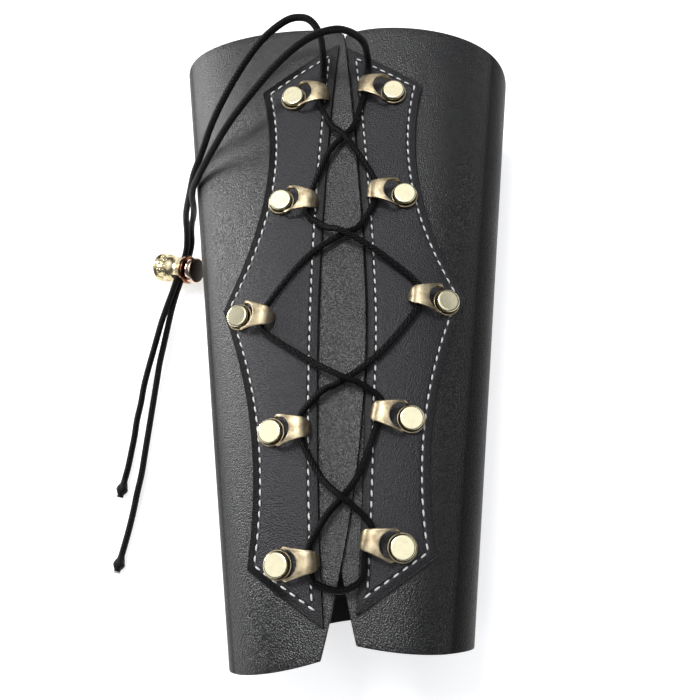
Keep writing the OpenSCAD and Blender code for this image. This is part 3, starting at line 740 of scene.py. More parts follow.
def lean(y):
    """Both panels lean to the left towards the elbow."""
    return PANEL_LEAN * (y / GUARD_LEN) ** 2


def panel_inner(side, y):
    """How far a panel stays from the slit line. The right one also stays clear of the left flap."""
    gap = GAP_HALF - (GAP_HALF - GAP_END) * ((y - GAP_BOW_Y) / (PEAK_Y - GAP_BOW_Y)) ** 2
    at_y = shifted(side, y)
    return max(gap, lap(at_y) + EDGE_GAP + lean(at_y)) if side == RIGHT else gap


def panel_flat(side, y, t):
    """A point of the panel in the flat pattern, t from its inner edge to its outer one."""
    at_y = shifted(side, y)
    inner = panel_inner(side, y)
    away = mix(inner, max(panel_outer(y), inner + LEAST_W), t)
    return Vector((slit_w(at_y) - lean(at_y) + side * away, at_y, 0))


print("length of a panel, mm:", PEAK_Y - TIP_Y)

# %% [markdown]
# The rows of a panel's grid are set so that each corner of the outline falls on one of them, or the
# corner would be cut off. A finer grid would only make the cut smaller. The outline is then walked once
# round in close points, and a search tree over them tells how far any place is from the edge.

# %% Rows and edge distance
ROW_STEP, LEAST_ROWS = 1.6, 3
OUTLINE_STEPS, END_STEPS = 8, 20

panel_rows = []
for start, end in ((TIP_Y, LOW_Y), (LOW_Y, WING_Y), (WING_Y, TOP_Y), (TOP_Y, PEAK_Y)):
    count = max(LEAST_ROWS, round((end - start) / ROW_STEP))
    panel_rows += [mix(start, end, k / count) for k in range(count)]
panel_rows.append(PEAK_Y)


def outline(side):
    """The panel's outline in the flat pattern, as close points once round."""
    stations = [mix(a, b, k / OUTLINE_STEPS) for a, b in zip(panel_rows, panel_rows[1:])
                for k in range(OUTLINE_STEPS)] + [PEAK_Y]
    ends = [[panel_flat(side, y, k / END_STEPS) for k in range(1, END_STEPS)] for y in (PEAK_Y, TIP_Y)]
    outer = [panel_flat(side, y, 1) for y in stations]
    inner = [panel_flat(side, y, 0) for y in stations]
    return outer + ends[0][::-1] + inner[::-1] + ends[1]


def rim_finder(side):
    """A function that tells how far a point of the pattern is from the panel's outline."""
    points = outline(side)
    tree = kdtree.KDTree(len(points))
    for index, point in enumerate(points):
        tree.insert(point, index)
    tree.balance()
    return lambda flat: tree.find(Vector((flat.x, flat.y, 0)))[2]


print("rows of a panel:", len(panel_rows), "points of its outline:", len(outline(LEFT)))

# %% [markdown]
# A panel is skived, which means pared thinner, in a border along its edge. A bevel would only cut the
# corner, so each point keeps its distance from the outline, and the upper side sinks where that is small.
# The stitch channel and a painted shade along the border follow the same distance later. A second
# number marks the outer side of the left panel, where that painted shade is darkest.

# %% Panels
PANEL_COLUMNS = 22
BORDER_W, BORDER_DROP = 4.2, 0.55
FAR_FROM, FAR_FADE = 12.0, 8.0

panels = {}
for side, word in SIDES:
    def place(s, t):
        row = round(t * (len(panel_rows) - 1))
        return panel_flat(side, panel_rows[row], 0.5 - 0.5 * math.cos(math.pi * s))

    pattern = flat_sheet(PANEL_COLUMNS, len(panel_rows) - 1, place)
    cut_from_hide(pattern, PANEL_T)
    rim_of = rim_finder(side)
    rim = pattern.verts.layers.float.new("rim")
    # Marks the outer side of the left panel, where the painted shade of the border is darkest.
    painted_shade_edge = pattern.verts.layers.float.new("painted_shade_edge")
    for vert in pattern.verts:
        vert[rim] = rim_of(vert.co)
        if side == LEFT:
            vert[painted_shade_edge] = smooth((slit_w(vert.co.y) - vert.co.x - FAR_FROM) / FAR_FADE)
        on_top = smooth((vert.co.z + PANEL_T) / PANEL_T)
        skive = 1 - smooth(vert[rim] / BORDER_W)
        vert.co.z += PANEL_T + SKIN_GAP - on_top * BORDER_DROP * skive
    wrap(pattern, lambda flat: on_leather(side, flat.x, flat.y, flat.z))
    panels[side] = finish_piece(f"{word}_panel_hide", pattern, "guard", [f"{word}_panel"])
    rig.slot(panels[side], "leather")
    print(word, "panel faces:", len(panels[side].data.polygons))

# %% [markdown]
# A line of white thread runs round each panel, 3.2 mm inside the edge. It could be a broken curve with a
# bevel, but the ends of real stitches dip into their holes. The line is the outline moved inwards,
# without the points that come too near the edge at the tips.

# %% Line of the stitches
STITCH_IN, STITCH_PITCH = 3.2, 3.67
LEAST_MOVE, RIM_SLACK = 1e-6, 0.03


def inset_line(side, distance):
    """The outline moved inwards, for a row of stitches."""
    points = outline(side)
    rim_of = rim_finder(side)
    line = []
    for before, here, after in zip(points[-1:] + points, points, points[1:] + points[:1]):
        along = after - before
        if along.length < LEAST_MOVE:
            continue
        inward = Vector((-along.y, along.x, 0)).normalized() * side
        moved = here + inward * distance
        if rim_of(moved) > distance - RIM_SLACK:
            line.append(moved)
    return line


def even_points(line, pitch):
    """Points at an even pitch round a closed line, each with the line's direction there."""
    loop = line + line[:1]
    total = length_of(loop)
    count = round(total / pitch)
    found, gone, k = [], 0.0, 0
    for index in range(count):
        goal = total * index / count
        while gone + (loop[k + 1] - loop[k]).length < goal:
            gone += (loop[k + 1] - loop[k]).length
            k += 1
        leg = loop[k + 1] - loop[k]
        found.append((loop[k] + leg * ((goal - gone) / leg.length), leg.normalized()))
    return found


stitch_spots = {side: even_points(inset_line(side, STITCH_IN), STITCH_PITCH) for side, _ in SIDES}
print("stitches on each panel:", [len(spots) for spots in stitch_spots.values()])

# %% [markdown]
# One stitch is a stretched ball whose ends dip into the leather. An instance of a finished stitch would
# be lighter, but it can't bend with the panel, so the same small ball is made at each spot and wrapped
# there. Each is a little longer, shorter or more slanted than its neighbour, as a machine leaves it.

# %% Stitches
STITCH_SHARE, SHORTEST, LONGEST = 0.68, 0.94, 1.05
THREAD_W, THREAD_H, THREAD_PROUD, STITCH_DIP = 0.70, 0.5, 0.3, 0.42
STITCH_SLANT, SLANT_SPREAD = 4.0, 1.5


def add_stitch(builder, place, flat, along, length, base):
    """One stitch in the flat pattern at flat, wrapped with place. base is the leather's height there."""
    made = bmesh.ops.create_uvsphere(builder, u_segments=8, v_segments=6, radius=0.5,
                                     matrix=Matrix.Rotation(math.pi / 2, 4, "Y"))
    across = Vector((-along.y, along.x, 0))
    for vert in made["verts"]:
        x, y, z = vert.co
        level = base + THREAD_H * (THREAD_PROUD + z) - STITCH_DIP * (2 * x) ** 4
        spot = flat + along * x * length + across * y * THREAD_W
        vert.co = place(Vector((spot.x, spot.y, level)))


random.seed(7)
stitch_base = PANEL_T + SKIN_GAP - BORDER_DROP * (1 - smooth(STITCH_IN / BORDER_W))
stitch_rows = []
for side, word in SIDES:
    thread = bmesh.new()
    for flat, along in stitch_spots[side]:
        turn = Matrix.Rotation(math.radians(random.gauss(STITCH_SLANT, SLANT_SPREAD)), 3, "Z")
        length = STITCH_PITCH * STITCH_SHARE * random.uniform(SHORTEST, LONGEST)
        add_stitch(thread, lambda p: on_leather(side, p.x, p.y, p.z), flat, turn @ along, length, stitch_base)
    stitch_rows.append(finish_piece(f"{word}_stitches", thread, "guard"))
    print(word, "stitch faces:", len(stitch_rows[-1].data.polygons))

# %% [markdown]
# A lace loop is cast brass in one piece. A round dish with a hole sits under the rivet, and a hollow arch
# without a floor closes down to the nose, with a crescent left open round the rivet. The arch could be
# carved out of a block with booleans, but its surface is a gentle double curve, so it is drawn as one:
# t runs from the horns over the top to the nose, and v from side to side.

# %% Form of the arch
ARCH_MID, ARCH_START, HORN_Z, HORN_X, HORN_HALF = 8.0, 1.5, 1.3, 3.2, 5.7
NOSE_HALF, NOSE_ROUND, NOSE_SQUARE = 3.7, 2.4, 0.7
CRESCENT_X, CRESCENT_R = 3.4, 4.6
CROWN, FOOT_SLACK, HALVINGS = 0.35, 0.1, 24


def loop_half(x):
    """Half the loop's width at x: out along the horns, then narrower to the round nose."""
    if x > LOOP_REACH - NOSE_ROUND:
        share = min(1, (x - LOOP_REACH + NOSE_ROUND) / NOSE_ROUND)
        return NOSE_HALF - NOSE_ROUND * (1 - math.sqrt(max(0, 1 - share * share)))
    if x < HORN_X:
        return mix(FOOT_R - FOOT_SLACK, HORN_HALF, (x - ARCH_START) / (HORN_X - ARCH_START))
    return mix(HORN_HALF, NOSE_HALF, (x - HORN_X) / (LOOP_REACH - NOSE_ROUND - HORN_X))


def arch_side(t):
    """The arch seen from the side, t from -1 at the horns over 0 at the top to 1 at the nose."""
    angle = abs(t) * math.pi / 2
    if t < 0:
        return (ARCH_MID - (ARCH_MID - ARCH_START) * math.sin(angle),
                HORN_Z + (ARCH_H - HORN_Z) * math.cos(angle))
    return (ARCH_MID + (LOOP_REACH - ARCH_MID) * math.sin(angle) ** NOSE_SQUARE,
            ARCH_H * max(0, math.cos(angle)) ** NOSE_SQUARE)


def front_t(v):
    """Where the arch begins beside the rivet, as its t: on the crescent, or at the horns outside it."""
    low, high = -1.0, 1.0
    for _ in range(HALVINGS):
        t = (low + high) / 2
        x = arch_side(t)[0]
        y = abs(v) * loop_half(x)
        inside = y < CRESCENT_R and x < CRESCENT_X + math.sqrt(CRESCENT_R ** 2 - y * y)
        low, high = (t, high) if inside and x > CRESCENT_X - CRESCENT_R else (low, t)
    return high


def arch_place(s, v):
    """A point of the arch, s from its front edge to the nose."""
    t = mix(front_t(v), 1, s)
    x, z = arch_side(t)
    return Vector((x, v * loop_half(x), z - CROWN * v ** 4))


print("width of a loop at its horns and nose, mm:", 2 * HORN_HALF, 2 * NOSE_HALF)

# %% [markdown]
# Dish, rivets, knots and lock are round, and a lathe is the natural tool for round things. A cylinder
# with insets would do for plain ones. One helper that spins a profile serves all of them. A second one
# chooses the faces that get another finish, and a third puts finished forms together in one mesh.

# %% Turning and joining
FULL_TURN_STEPS = 48


def spun(builder, profile, steps=FULL_TURN_STEPS, axis=(0, 0, 1), radial=(1, 0, 0)):
    """A full turn of a profile of (radius, height) pairs round an axis through the origin."""
    axis, radial = Vector(axis), Vector(radial)
    verts = [builder.verts.new(radial * r + axis * h) for r, h in profile]
    edges = [builder.edges.new(pair) for pair in zip(verts, verts[1:])]
    bmesh.ops.spin(builder, geom=verts + edges, cent=(0, 0, 0), axis=axis, angle=2 * math.pi, steps=steps,
                   use_merge=True)
    merge(builder)
    bmesh.ops.recalc_face_normals(builder, faces=builder.faces)


def second_material(builder, where):
    """Gives the second material to the faces whose middle is where the test says."""
    for face in builder.faces:
        face.material_index = 1 if where(face.calc_center_median()) else 0


def absorb(builder, other):
    """Adds a finished bmesh to another one."""
    mesh = bpy.data.meshes.new("part")
    other.to_mesh(mesh)
    other.free()
    builder.from_mesh(mesh)
    bpy.data.meshes.remove(mesh)


print("steps of a full turn:", FULL_TURN_STEPS)

# %% [markdown]
# The arch begins as a flat grid whose points are moved to their places on the double curve. Then it gets
# a wall and rounded edges, and the turned dish joins it. Ten loops could be made one by one. One is made
# and copied ten times, each copy moved to its seat, because all ten came out of one mould.

# %% Lace loops
ARCH_ROWS, ARCH_COLUMNS = 26, 24
LOOP_EDGE, LOOP_CORNER = 0.22, 55
HOLE_R = 1.65
DISH = ((HOLE_R, 0), (4.8, 0), (5, 0.2), (5, 1.1), (4.85, 1.3), (4.6, 1.3), (4.4, 1.1), (4.4, 0.8),
        (HOLE_R, 0.8), (HOLE_R, 0))


def loop_form():
    """One loop in its own millimetres: the turned dish, and the arch over the cord."""
    whole = bmesh.new()
    spun(whole, DISH)
    arch = bmesh.new()
    bmesh.ops.create_grid(arch, x_segments=ARCH_ROWS, y_segments=ARCH_COLUMNS, size=0.5)
    for vert in arch.verts:
        vert.co = arch_place(vert.co.x + 0.5, math.sin(vert.co.y * math.pi))
    merge(arch)
    arch.normal_update()
    if sum(face.normal.z for face in arch.faces) < 0:
        bmesh.ops.reverse_faces(arch, faces=arch.faces)
    bmesh.ops.solidify(arch, geom=arch.faces[:], thickness=ARCH_WALL)
    for vert in arch.verts:
        vert.co.z = max(0, vert.co.z)
    merge(arch)
    bmesh.ops.recalc_face_normals(arch, faces=arch.faces)
    round_edges(arch, LOOP_EDGE, LOOP_CORNER, segments=2)
    absorb(whole, arch)
    return whole


master = loop_form()
print("faces of one loop:", len(master.faces))
loops = []
for side, word in SIDES:
    for row in range(1, ROWS + 1):
        copy = master.copy()
        copy.transform(loop_seat(side, row) @ Matrix.Scale(MM, 4))
        name = f"{word}_loop_{row}"
        loops.append(finish_piece(f"{name}_brass", copy, name, [name]))
        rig.slot(loops[-1], "antique_brass")
master.free()

# %% [markdown]
# Each rivet has a flat bright head on a short shank, and a post that ends in a cap inside the sleeve.
# The post is as long as all the layers that it holds, and a little longer where the sleeve bends, because
# a flat cap bridges the hollow. Head, post and cap could be cylinders, but it is the small steps of the
# rim that catch the light, so each is turned from a profile.

# %% Rivets
HEAD_R, HEAD_T, SHANK_R, SHANK_H = 4.25, 1.7, 3.2, 0.9
POST_R, BACK_R, BACK_T, RUN_GAP = 1.6, 4.2, 0.9, 0.05
HEAD_LOW = FOOT_T + RUN_GAP
BEND_SPREAD = 6


def grip(side, row):
    """How far below its seat a rivet's cap lies, over the bend between two angles a little apart."""
    y = seat_y(side, row)
    angle = angle_at(slit_w(y) + side * RIVET_W[row - 1], y)
    step = math.radians(BEND_SPREAD)
    (run1, rise1), (run2, rise2) = ring_step(angle - step, y), ring_step(angle + step, y)
    turn = abs(math.atan2(rise1, run1) - math.atan2(rise2, run2))
    bend = 2 * BEND_SPREAD * math.hypot(*ring_step(angle, y)) / turn - SHELL_T
    return FOOT_GAP + PANEL_T + SKIN_GAP + SHELL_T + SKIN_GAP + (LOOP_MID + BACK_R) ** 2 / (2 * bend)


def head_profile():
    """The head of a rivet on its shank."""
    under, top = HEAD_LOW + SHANK_H, HEAD_LOW + SHANK_H + HEAD_T
    return ((0, HEAD_LOW), (SHANK_R, HEAD_LOW), (SHANK_R, under), (HEAD_R - 0.2, under),
            (HEAD_R, under + 0.2), (HEAD_R, top - 0.55), (HEAD_R - 0.12, top - 0.25),
            (HEAD_R - 0.38, top - 0.08), (HEAD_R - 0.75, top - 0.04), (HEAD_R - 1.1, top - 0.06), (0, top))


def post_profile(low):
    """The post of a rivet, down to where the cap begins."""
    return ((0, low), (POST_R, low), (POST_R, HEAD_LOW), (0, HEAD_LOW))


def cap_profile(low):
    """The cap inside the sleeve. Its flat side looks up at low."""
    return ((0, low), (BACK_R, low), (BACK_R, low - 0.45), (BACK_R - 0.15, low - 0.7),
            (BACK_R - 0.6, low - 0.86), (0, low - BACK_T))


heads, caps = bmesh.new(), bmesh.new()
for side in (LEFT, RIGHT):
    for row in range(1, ROWS + 1):
        low = -grip(side, row)
        turnings = ((heads, head_profile()), (heads, post_profile(low)), (caps, cap_profile(low)))
        for builder, profile in turnings:
            one = bmesh.new()
            spun(one, profile)
            one.transform(loop_seat(side, row) @ Matrix.Scale(MM, 4))
            absorb(builder, one)
rivets = finish_piece("rivet_heads", heads, "guard", ["rivets"])
rivet_caps = finish_piece("rivet_caps", caps, "guard", ["rivet_backs"])
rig.slot(rivets, "rivet_gold")
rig.slot(rivet_caps, "antique_brass")
print("rivet faces:", len(rivets.data.polygons), "cap faces:", len(rivet_caps.data.polygons))

# %% [markdown]
# A knot in thin elastic cord pulls up into a small bulb. A true knot could be swept along a trefoil, but
# at this size only the bulb and its slanting strands are seen. So it is a turned form whose radius swells
# and falls, with furrows pressed in between the strands, and a short cut stub. The stub of the right
# knot is sealed and pale.

# %% End knots
KNOT_LEN, KNOT_D, KNOT_STEPS = 7.8, 5.2, 60
BULB_SHARE, BULB_PEAK, BULB_FULL, BULB_RINGS = 0.84, 1.6, 1.2, 32
STRANDS, STRAND_TWIST, FURROW, FURROW_SHARP, FURROW_FADE = 3, 1.9, 0.34, 1.5, 4
PALE_END, STUB_ROUND = 0.7, 0.15


def knot_form(route, pale_end):
    """The knot at the end of a route, in metres. A pale end gets the second material."""
    axis = (route[-1] - route[-2]).normalized()
    side = (Vector((0, 0, 1)) - axis * axis.z).normalized()
    seat = Matrix((side, axis.cross(side), axis)).transposed().to_4x4()
    stub = TAIL_D / 2
    profile = [(0, 0)]
    for k in range(BULB_RINGS + 1):
        t = k / BULB_RINGS
        swell = math.sin(math.pi * t ** BULB_PEAK) ** BULB_FULL
        profile.append((mix(stub, KNOT_D / 2, swell), BULB_SHARE * KNOT_LEN * t))
    profile += [(stub, KNOT_LEN - PALE_END), (stub, KNOT_LEN - STUB_ROUND),
                (stub - STUB_ROUND, KNOT_LEN), (0, KNOT_LEN)]
    bulb = bmesh.new()
    spun(bulb, profile, steps=KNOT_STEPS)
    for vert in bulb.verts:
        radius = math.hypot(vert.co.x, vert.co.y)
        if radius < LEAST_MOVE:
            continue
        share = vert.co.z / (BULB_SHARE * KNOT_LEN)
        turn = math.atan2(vert.co.y, vert.co.x)
        ridge = abs(math.sin(STRANDS * (turn / 2 + STRAND_TWIST * share)))
        faded = smooth(share * FURROW_FADE) * smooth((1 - share) * FURROW_FADE)
        deep = FURROW * faded * (1 - ridge) ** FURROW_SHARP
        vert.co.x *= 1 - deep / radius
        vert.co.y *= 1 - deep / radius
    second_material(bulb, lambda middle: pale_end and middle.z > KNOT_LEN - PALE_END)
    bulb.transform(Matrix.Translation(route[-1]) @ seat @ Matrix.Scale(MM, 4))
    return bulb


knots = []
for name, route in (("left_knot", left_route), ("right_knot", right_route)):
    knots.append(finish_piece(f"{name}_tied", knot_form(route, name == "right_knot"), "guard", [name]))
    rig.slot(knots[-1], "cord")
print("knot faces:", len(knots[0].data.polygons))

# %% [markdown]
# The cord lock has a barrel with a stamped relief, a smooth neck with a slot for both cords, a collar,
# and a spring-loaded plunger with a matching slot. All of it is round except for the slot. A slot could
# be left open while the profile is spun, but it runs across the axis, so a box cuts it out of the
# finished turning, with the modifier that does this cleanly.

# %% Sizes of the cord lock
LOCK_R, BARREL_LEN, NECK_R, NECK_LEN, COLLAR_R, COLLAR_LEN = 6.6, 8.4, 5.6, 6.2, 6.6, 2.0
STEM_R, PLUNGER_R, PLUNGER_T, PRESS = 4.15, 6.0, 3.0, 1.4
SLOT_MARGIN, END_WALL, WEB, BOSS_PROUD = 0.5, 1.5, 1.5, 0.35
SLOT_HALF = TAIL_D / 2 + CORD_GAP
SLOT_H = 2 * (CORD_STEP + TAIL_D / 2 + CORD_GAP)
COLLAR_AT = SLOT_HALF + SLOT_MARGIN
BARREL_END = COLLAR_AT - NECK_LEN
BARREL_START = BARREL_END - BARREL_LEN
BORE_END = BARREL_START + END_WALL
STEM_TIP = -SLOT_HALF - WEB
HEAD_AT = COLLAR_AT + COLLAR_LEN + PRESS
BODY_R = LOCK_R - BOSS_PROUD
LOCK_STEPS, LOCK_MERGE = 96, 1e-4
lock_seat = (Matrix.Translation(LOCK_AT) @ Matrix((lock_axis, upstream, lock_up)).transposed().to_4x4()
             @ Matrix.Scale(MM, 4))


def turned(profile, slot_to):
    """A piece turned round the lock's axis, with the slot for the cords cut through it up to slot_to."""
    body = bmesh.new()
    spun(body, profile, steps=LOCK_STEPS, axis=(1, 0, 0), radial=(0, 0, 1))
    mesh = bpy.data.meshes.new("turned")
    body.to_mesh(mesh)
    body.free()
    solid = bpy.data.objects.new("turned", mesh)
    cutter_form = bmesh.new()
    length = slot_to + SLOT_HALF
    bmesh.ops.create_cube(cutter_form, size=1,
                          matrix=Matrix.Translation(((slot_to - SLOT_HALF) / 2, 0, 0))
                          @ Matrix.Diagonal((length, 4 * LOCK_R, SLOT_H, 1)))
    cutter_mesh = bpy.data.meshes.new("cutter")
    cutter_form.to_mesh(cutter_mesh)
    cutter_form.free()
    cutter = bpy.data.objects.new("cutter", cutter_mesh)
    for item in (solid, cutter):
        bpy.context.scene.collection.objects.link(item)
    cut = solid.modifiers.new("slot", "BOOLEAN")
    cut.operation, cut.object, cut.solver = "DIFFERENCE", cutter, "EXACT"
    result = bmesh.new()
    made = bpy.data.meshes.new_from_object(solid.evaluated_get(bpy.context.evaluated_depsgraph_get()))
    result.from_mesh(made)
    for item in (solid, cutter):
        bpy.data.objects.remove(item)
    for item in (mesh, cutter_mesh, made):
        bpy.data.meshes.remove(item)
    merge(result, LOCK_MERGE)
    return result


print("slot of the lock, mm:", round(2 * SLOT_HALF, 2), "by", round(SLOT_H, 2))

# %% [markdown]
# The barrel's profile goes from the closed end over a rim, the body and the neck to the collar, and back
# down the bore for the stem. Its relief is two staggered rows of bosses. A displacement could press it
# in, but then the shape would be only as fine as the mesh, so each boss is a small turning of its own.
# The collar and the last of the neck are darker and get the second material.

# %% Barrel
COLLAR_END = COLLAR_AT + COLLAR_LEN
BOSS_R, BOSS_COUNT, BOSS_STEPS, BOSS_SINK, DARK_NECK = 1.5, 9, 14, 0.25, 1.0
BOSS = ((BOSS_R, 0), (BOSS_R * 0.9, 0.32), (BOSS_R * 0.66, 0.52), (BOSS_R * 0.5, 0.4),
        (BOSS_R * 0.34, 0.5), (0, 0.62))
BOSS_ROWS = ((0, 0.27), (0.5, 0.75))
RELIEF_FROM, RELIEF_TO = BARREL_START + 1.7, BARREL_END - 1.6
BARREL = (
    (0, BARREL_START), (LOCK_R - 0.5, BARREL_START), (LOCK_R - 0.12, BARREL_START + 0.15),
    (LOCK_R, BARREL_START + 0.4), (LOCK_R, BARREL_START + 1.0), (LOCK_R - 0.15, BARREL_START + 1.2),
    (BODY_R - 0.2, BARREL_START + 1.4), (BODY_R - 0.2, RELIEF_FROM), (BODY_R, BARREL_START + 1.9),
    (BODY_R, RELIEF_TO), (BODY_R - 0.2, BARREL_END - 0.95),
    (mix(NECK_R, BODY_R, 0.55), BARREL_END - 0.45), (NECK_R + 0.2, BARREL_END - 0.1),
    (NECK_R, BARREL_END + 0.2), (NECK_R, COLLAR_AT), (COLLAR_R - 0.4, COLLAR_AT),
    (COLLAR_R - 0.1, COLLAR_AT + 0.12), (COLLAR_R, COLLAR_AT + 0.4), (COLLAR_R, COLLAR_END - 0.4),
    (COLLAR_R - 0.1, COLLAR_END - 0.12), (COLLAR_R - 0.4, COLLAR_END), (STEM_R + RUN_GAP, COLLAR_END),
    (STEM_R + RUN_GAP, BORE_END), (0, BORE_END))

barrel = turned(BARREL, SLOT_HALF)
for row, share in BOSS_ROWS:
    along = mix(RELIEF_FROM, RELIEF_TO, share)
    for k in range(BOSS_COUNT):
        turn = Matrix.Rotation(2 * math.pi * (k + row) / BOSS_COUNT, 4, "X")
        boss = bmesh.new()
        spun(boss, BOSS, steps=BOSS_STEPS)
        boss.transform(turn @ Matrix.Translation((along, 0, BODY_R - BOSS_SINK)))
        absorb(barrel, boss)
second_material(barrel, lambda middle: middle.x > COLLAR_AT - DARK_NECK)
barrel.transform(lock_seat)
lock_barrel = finish_piece("lock_barrel_gold", barrel, "cord_lock", ["lock_barrel"])
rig.slot(lock_barrel, "lock_gold")
print("barrel faces:", len(lock_barrel.data.polygons))

# %% [markdown]
# The plunger is a stem that slides in the bore, under a round head. Its slot is longer than the barrel's
# by the way that it is pressed, so the cords stay free in both. It is a second turning, and not part of
# the first, because it moves. Its flat end gets the second material, a near-black metal as painted shade:
# it stands for the shadowed table that the end would mirror.

# %% Plunger
UNDER_HEAD, PLUNGER_END = HEAD_AT + RUN_GAP, HEAD_AT + PLUNGER_T
END_SLACK = 0.01
PLUNGER = ((0, STEM_TIP), (STEM_R - 0.3, STEM_TIP), (STEM_R, STEM_TIP + 0.3), (STEM_R, UNDER_HEAD),
           (PLUNGER_R - 0.4, UNDER_HEAD), (PLUNGER_R - 0.1, UNDER_HEAD + 0.12), (PLUNGER_R, HEAD_AT + 0.4),
           (PLUNGER_R, PLUNGER_END - 0.5), (PLUNGER_R - 0.15, PLUNGER_END - 0.15),
           (PLUNGER_R - 0.5, PLUNGER_END), (0, PLUNGER_END))

plunger = turned(PLUNGER, SLOT_HALF + PRESS)
# The flat end gets the near-black painted shade.
second_material(plunger, lambda middle: middle.x > PLUNGER_END - END_SLACK)
plunger.transform(lock_seat)
lock_plunger = finish_piece("lock_plunger_rose", plunger, "plunger", ["lock_plunger"])
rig.slot(lock_plunger, "lock_rose")
print("plunger faces:", len(lock_plunger.data.polygons))

# %% [markdown]
# The spring sits behind the stem, inside the barrel, where a lock of this kind has one. A spun ring with
# a screw would draw it, but the cord tube already follows any line, so the spring is a line of points on
# a helix. It gets shorter as the plunger goes in.

# %% Spring
WIRE_D, SPRING_TURNS, TURN_STEPS = 0.6, 5, 20
spring_from, spring_to = BORE_END + WIRE_D / 2, STEM_TIP - WIRE_D / 2
coil_r = STEM_R - WIRE_D
coil = []
for k in range(SPRING_TURNS * TURN_STEPS + 1):
    angle = 2 * math.pi * k / TURN_STEPS
    coil.append(in_lock(mix(spring_from, spring_to, k / (SPRING_TURNS * TURN_STEPS)),
                        coil_r * math.cos(angle), coil_r * math.sin(angle)))
wire = cord_tube("spring_wire", coil, WIRE_D * MM)
spring = finish_piece("spring_wire", wire, "cord_lock", ["lock_spring"])
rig.slot(spring, "spring_steel")
spring_len = spring_to - spring_from + WIRE_D
keep = (spring_len - PRESS) / spring_len
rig.squash(spring, "plunger_press", lock_axis, in_lock(BORE_END, 0, 0), keep=keep)
print("spring keeps this share when pressed:", round(keep, 3))

# %% [markdown]
# Both free ends are limp cords that end in a knot, and the lock sits on both. A still picture doesn't
# need to know this, but whoever lets the cords hang or swing does. So each cord's exit, real length,
# thickness and path are declared here, with the pieces that it carries.

# %% Cord facts
lock_pieces = [lock_barrel, lock_plunger, spring]
for cord_piece, line, knot in ((left_cord, left_line, knots[0]), (right_cord, right_line, knots[1])):
    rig.cord(cord_piece, line[0], length_of(line), TAIL_D * MM, "knot", "limp", "loose", path=line,
            with_pieces=[knot] + lock_pieces)
print("cords declared:", left_cord.name, right_cord.name)

# %% [markdown]
# Materials are mixed from nodes. Each could be wired up node by node, which takes many lines that all
# look alike. A small class adds a node, fills its sockets and links it at once, so that each finish below
# reads as a short list of what it is made of. All patterns read the piece's own Object coordinates.

# %% Material tools
COLOUR_A, COLOUR_B, COLOUR_OUT = 6, 7, 2    # the sockets of a Mix node that hold colours


class Nodes:
    """Adds nodes to one material and links them, so that a material reads as a short list."""

    def __init__(self, name):
        self.material = bpy.data.materials.new(name)
        self.material.use_nodes = True
        self.tree = self.material.node_tree
        self.shader = self.tree.nodes["Principled BSDF"]
        self.place = self.tree.nodes.new("ShaderNodeTexCoord").outputs["Object"]

    def add(self, kind, inputs=(), **settings):
        """A new node with these inputs and settings."""
        node = self.tree.nodes.new(kind)
        for key, value in settings.items():
            setattr(node, key, value)
        for key, value in dict(inputs).items():
            self.set(node.inputs[key], value)
        return node

    def set(self, socket, value):
        """Writes a value into a socket, or links another node's output to it."""
        if isinstance(value, bpy.types.NodeSocket):
            self.tree.links.new(value, socket)
        else:
            socket.default_value = value

    def surface(self, **inputs):
        """Fills inputs of the surface, with underscores for spaces in names."""
        for key, value in inputs.items():
            self.set(self.shader.inputs[key.replace("_", " ")], value)

    def noise(self, scale, detail=3.0, roughness=0.5):
        """Soft random patches, about scale to a metre."""
        inputs = {"Vector": self.place, "Scale": scale, "Detail": detail, "Roughness": roughness}
        return self.add("ShaderNodeTexNoise", inputs).outputs["Fac"]

    def cells(self, scale):
        """The distance to the nearest of many scattered points."""
        return self.add("ShaderNodeTexVoronoi", {"Vector": self.place, "Scale": scale}).outputs["Distance"]

    def kept(self, attribute):
        """A number that the piece keeps on its points."""
        return self.add("ShaderNodeAttribute", attribute_name=attribute).outputs["Fac"]

    def sum(self, a, b, operation="ADD"):
        """Two numbers added, or joined by another operation."""
        node = self.add("ShaderNodeMath", operation=operation)
        self.set(node.inputs[0], a)
        self.set(node.inputs[1], b)
        return node.outputs[0]

    def times(self, a, b):
        return self.sum(a, b, "MULTIPLY")

    def span(self, value, low, high, out_low=0.0, out_high=1.0):
        """A value moved from one span to another, and held at its ends."""
        return self.add("ShaderNodeMapRange", {"Value": value, "From Min": low, "From Max": high,
                                               "To Min": out_low, "To Max": out_high}).outputs["Result"]

    def blend(self, share, a, b):
        """A colour between two others."""
        node = self.add("ShaderNodeMix", data_type="RGBA")
        self.set(node.inputs["Factor"], share)
        self.set(node.inputs[COLOUR_A], a)
        self.set(node.inputs[COLOUR_B], b)
        return node.outputs[COLOUR_OUT]

    def bump(self, height, distance, strength=1.0, normal=None):
        """A relief from a height, with its depth in metres."""
        inputs = {"Height": height, "Distance": distance, "Strength": strength}
        if normal is not None:
            inputs["Normal"] = normal
        return self.add("ShaderNodeBump", inputs).outputs["Normal"]


def grey(value, warm=1.0):
    """A grey with its red raised and its blue lowered by the same share."""
    return (value * warm, value, value / warm, 1)


def dress(piece, *materials):
    """Gives a piece its materials, the main one first."""
    for material in materials:
        piece.data.materials.append(material)


print("a warm grey:", [round(share, 3) for share in grey(0.5, 1.04)])
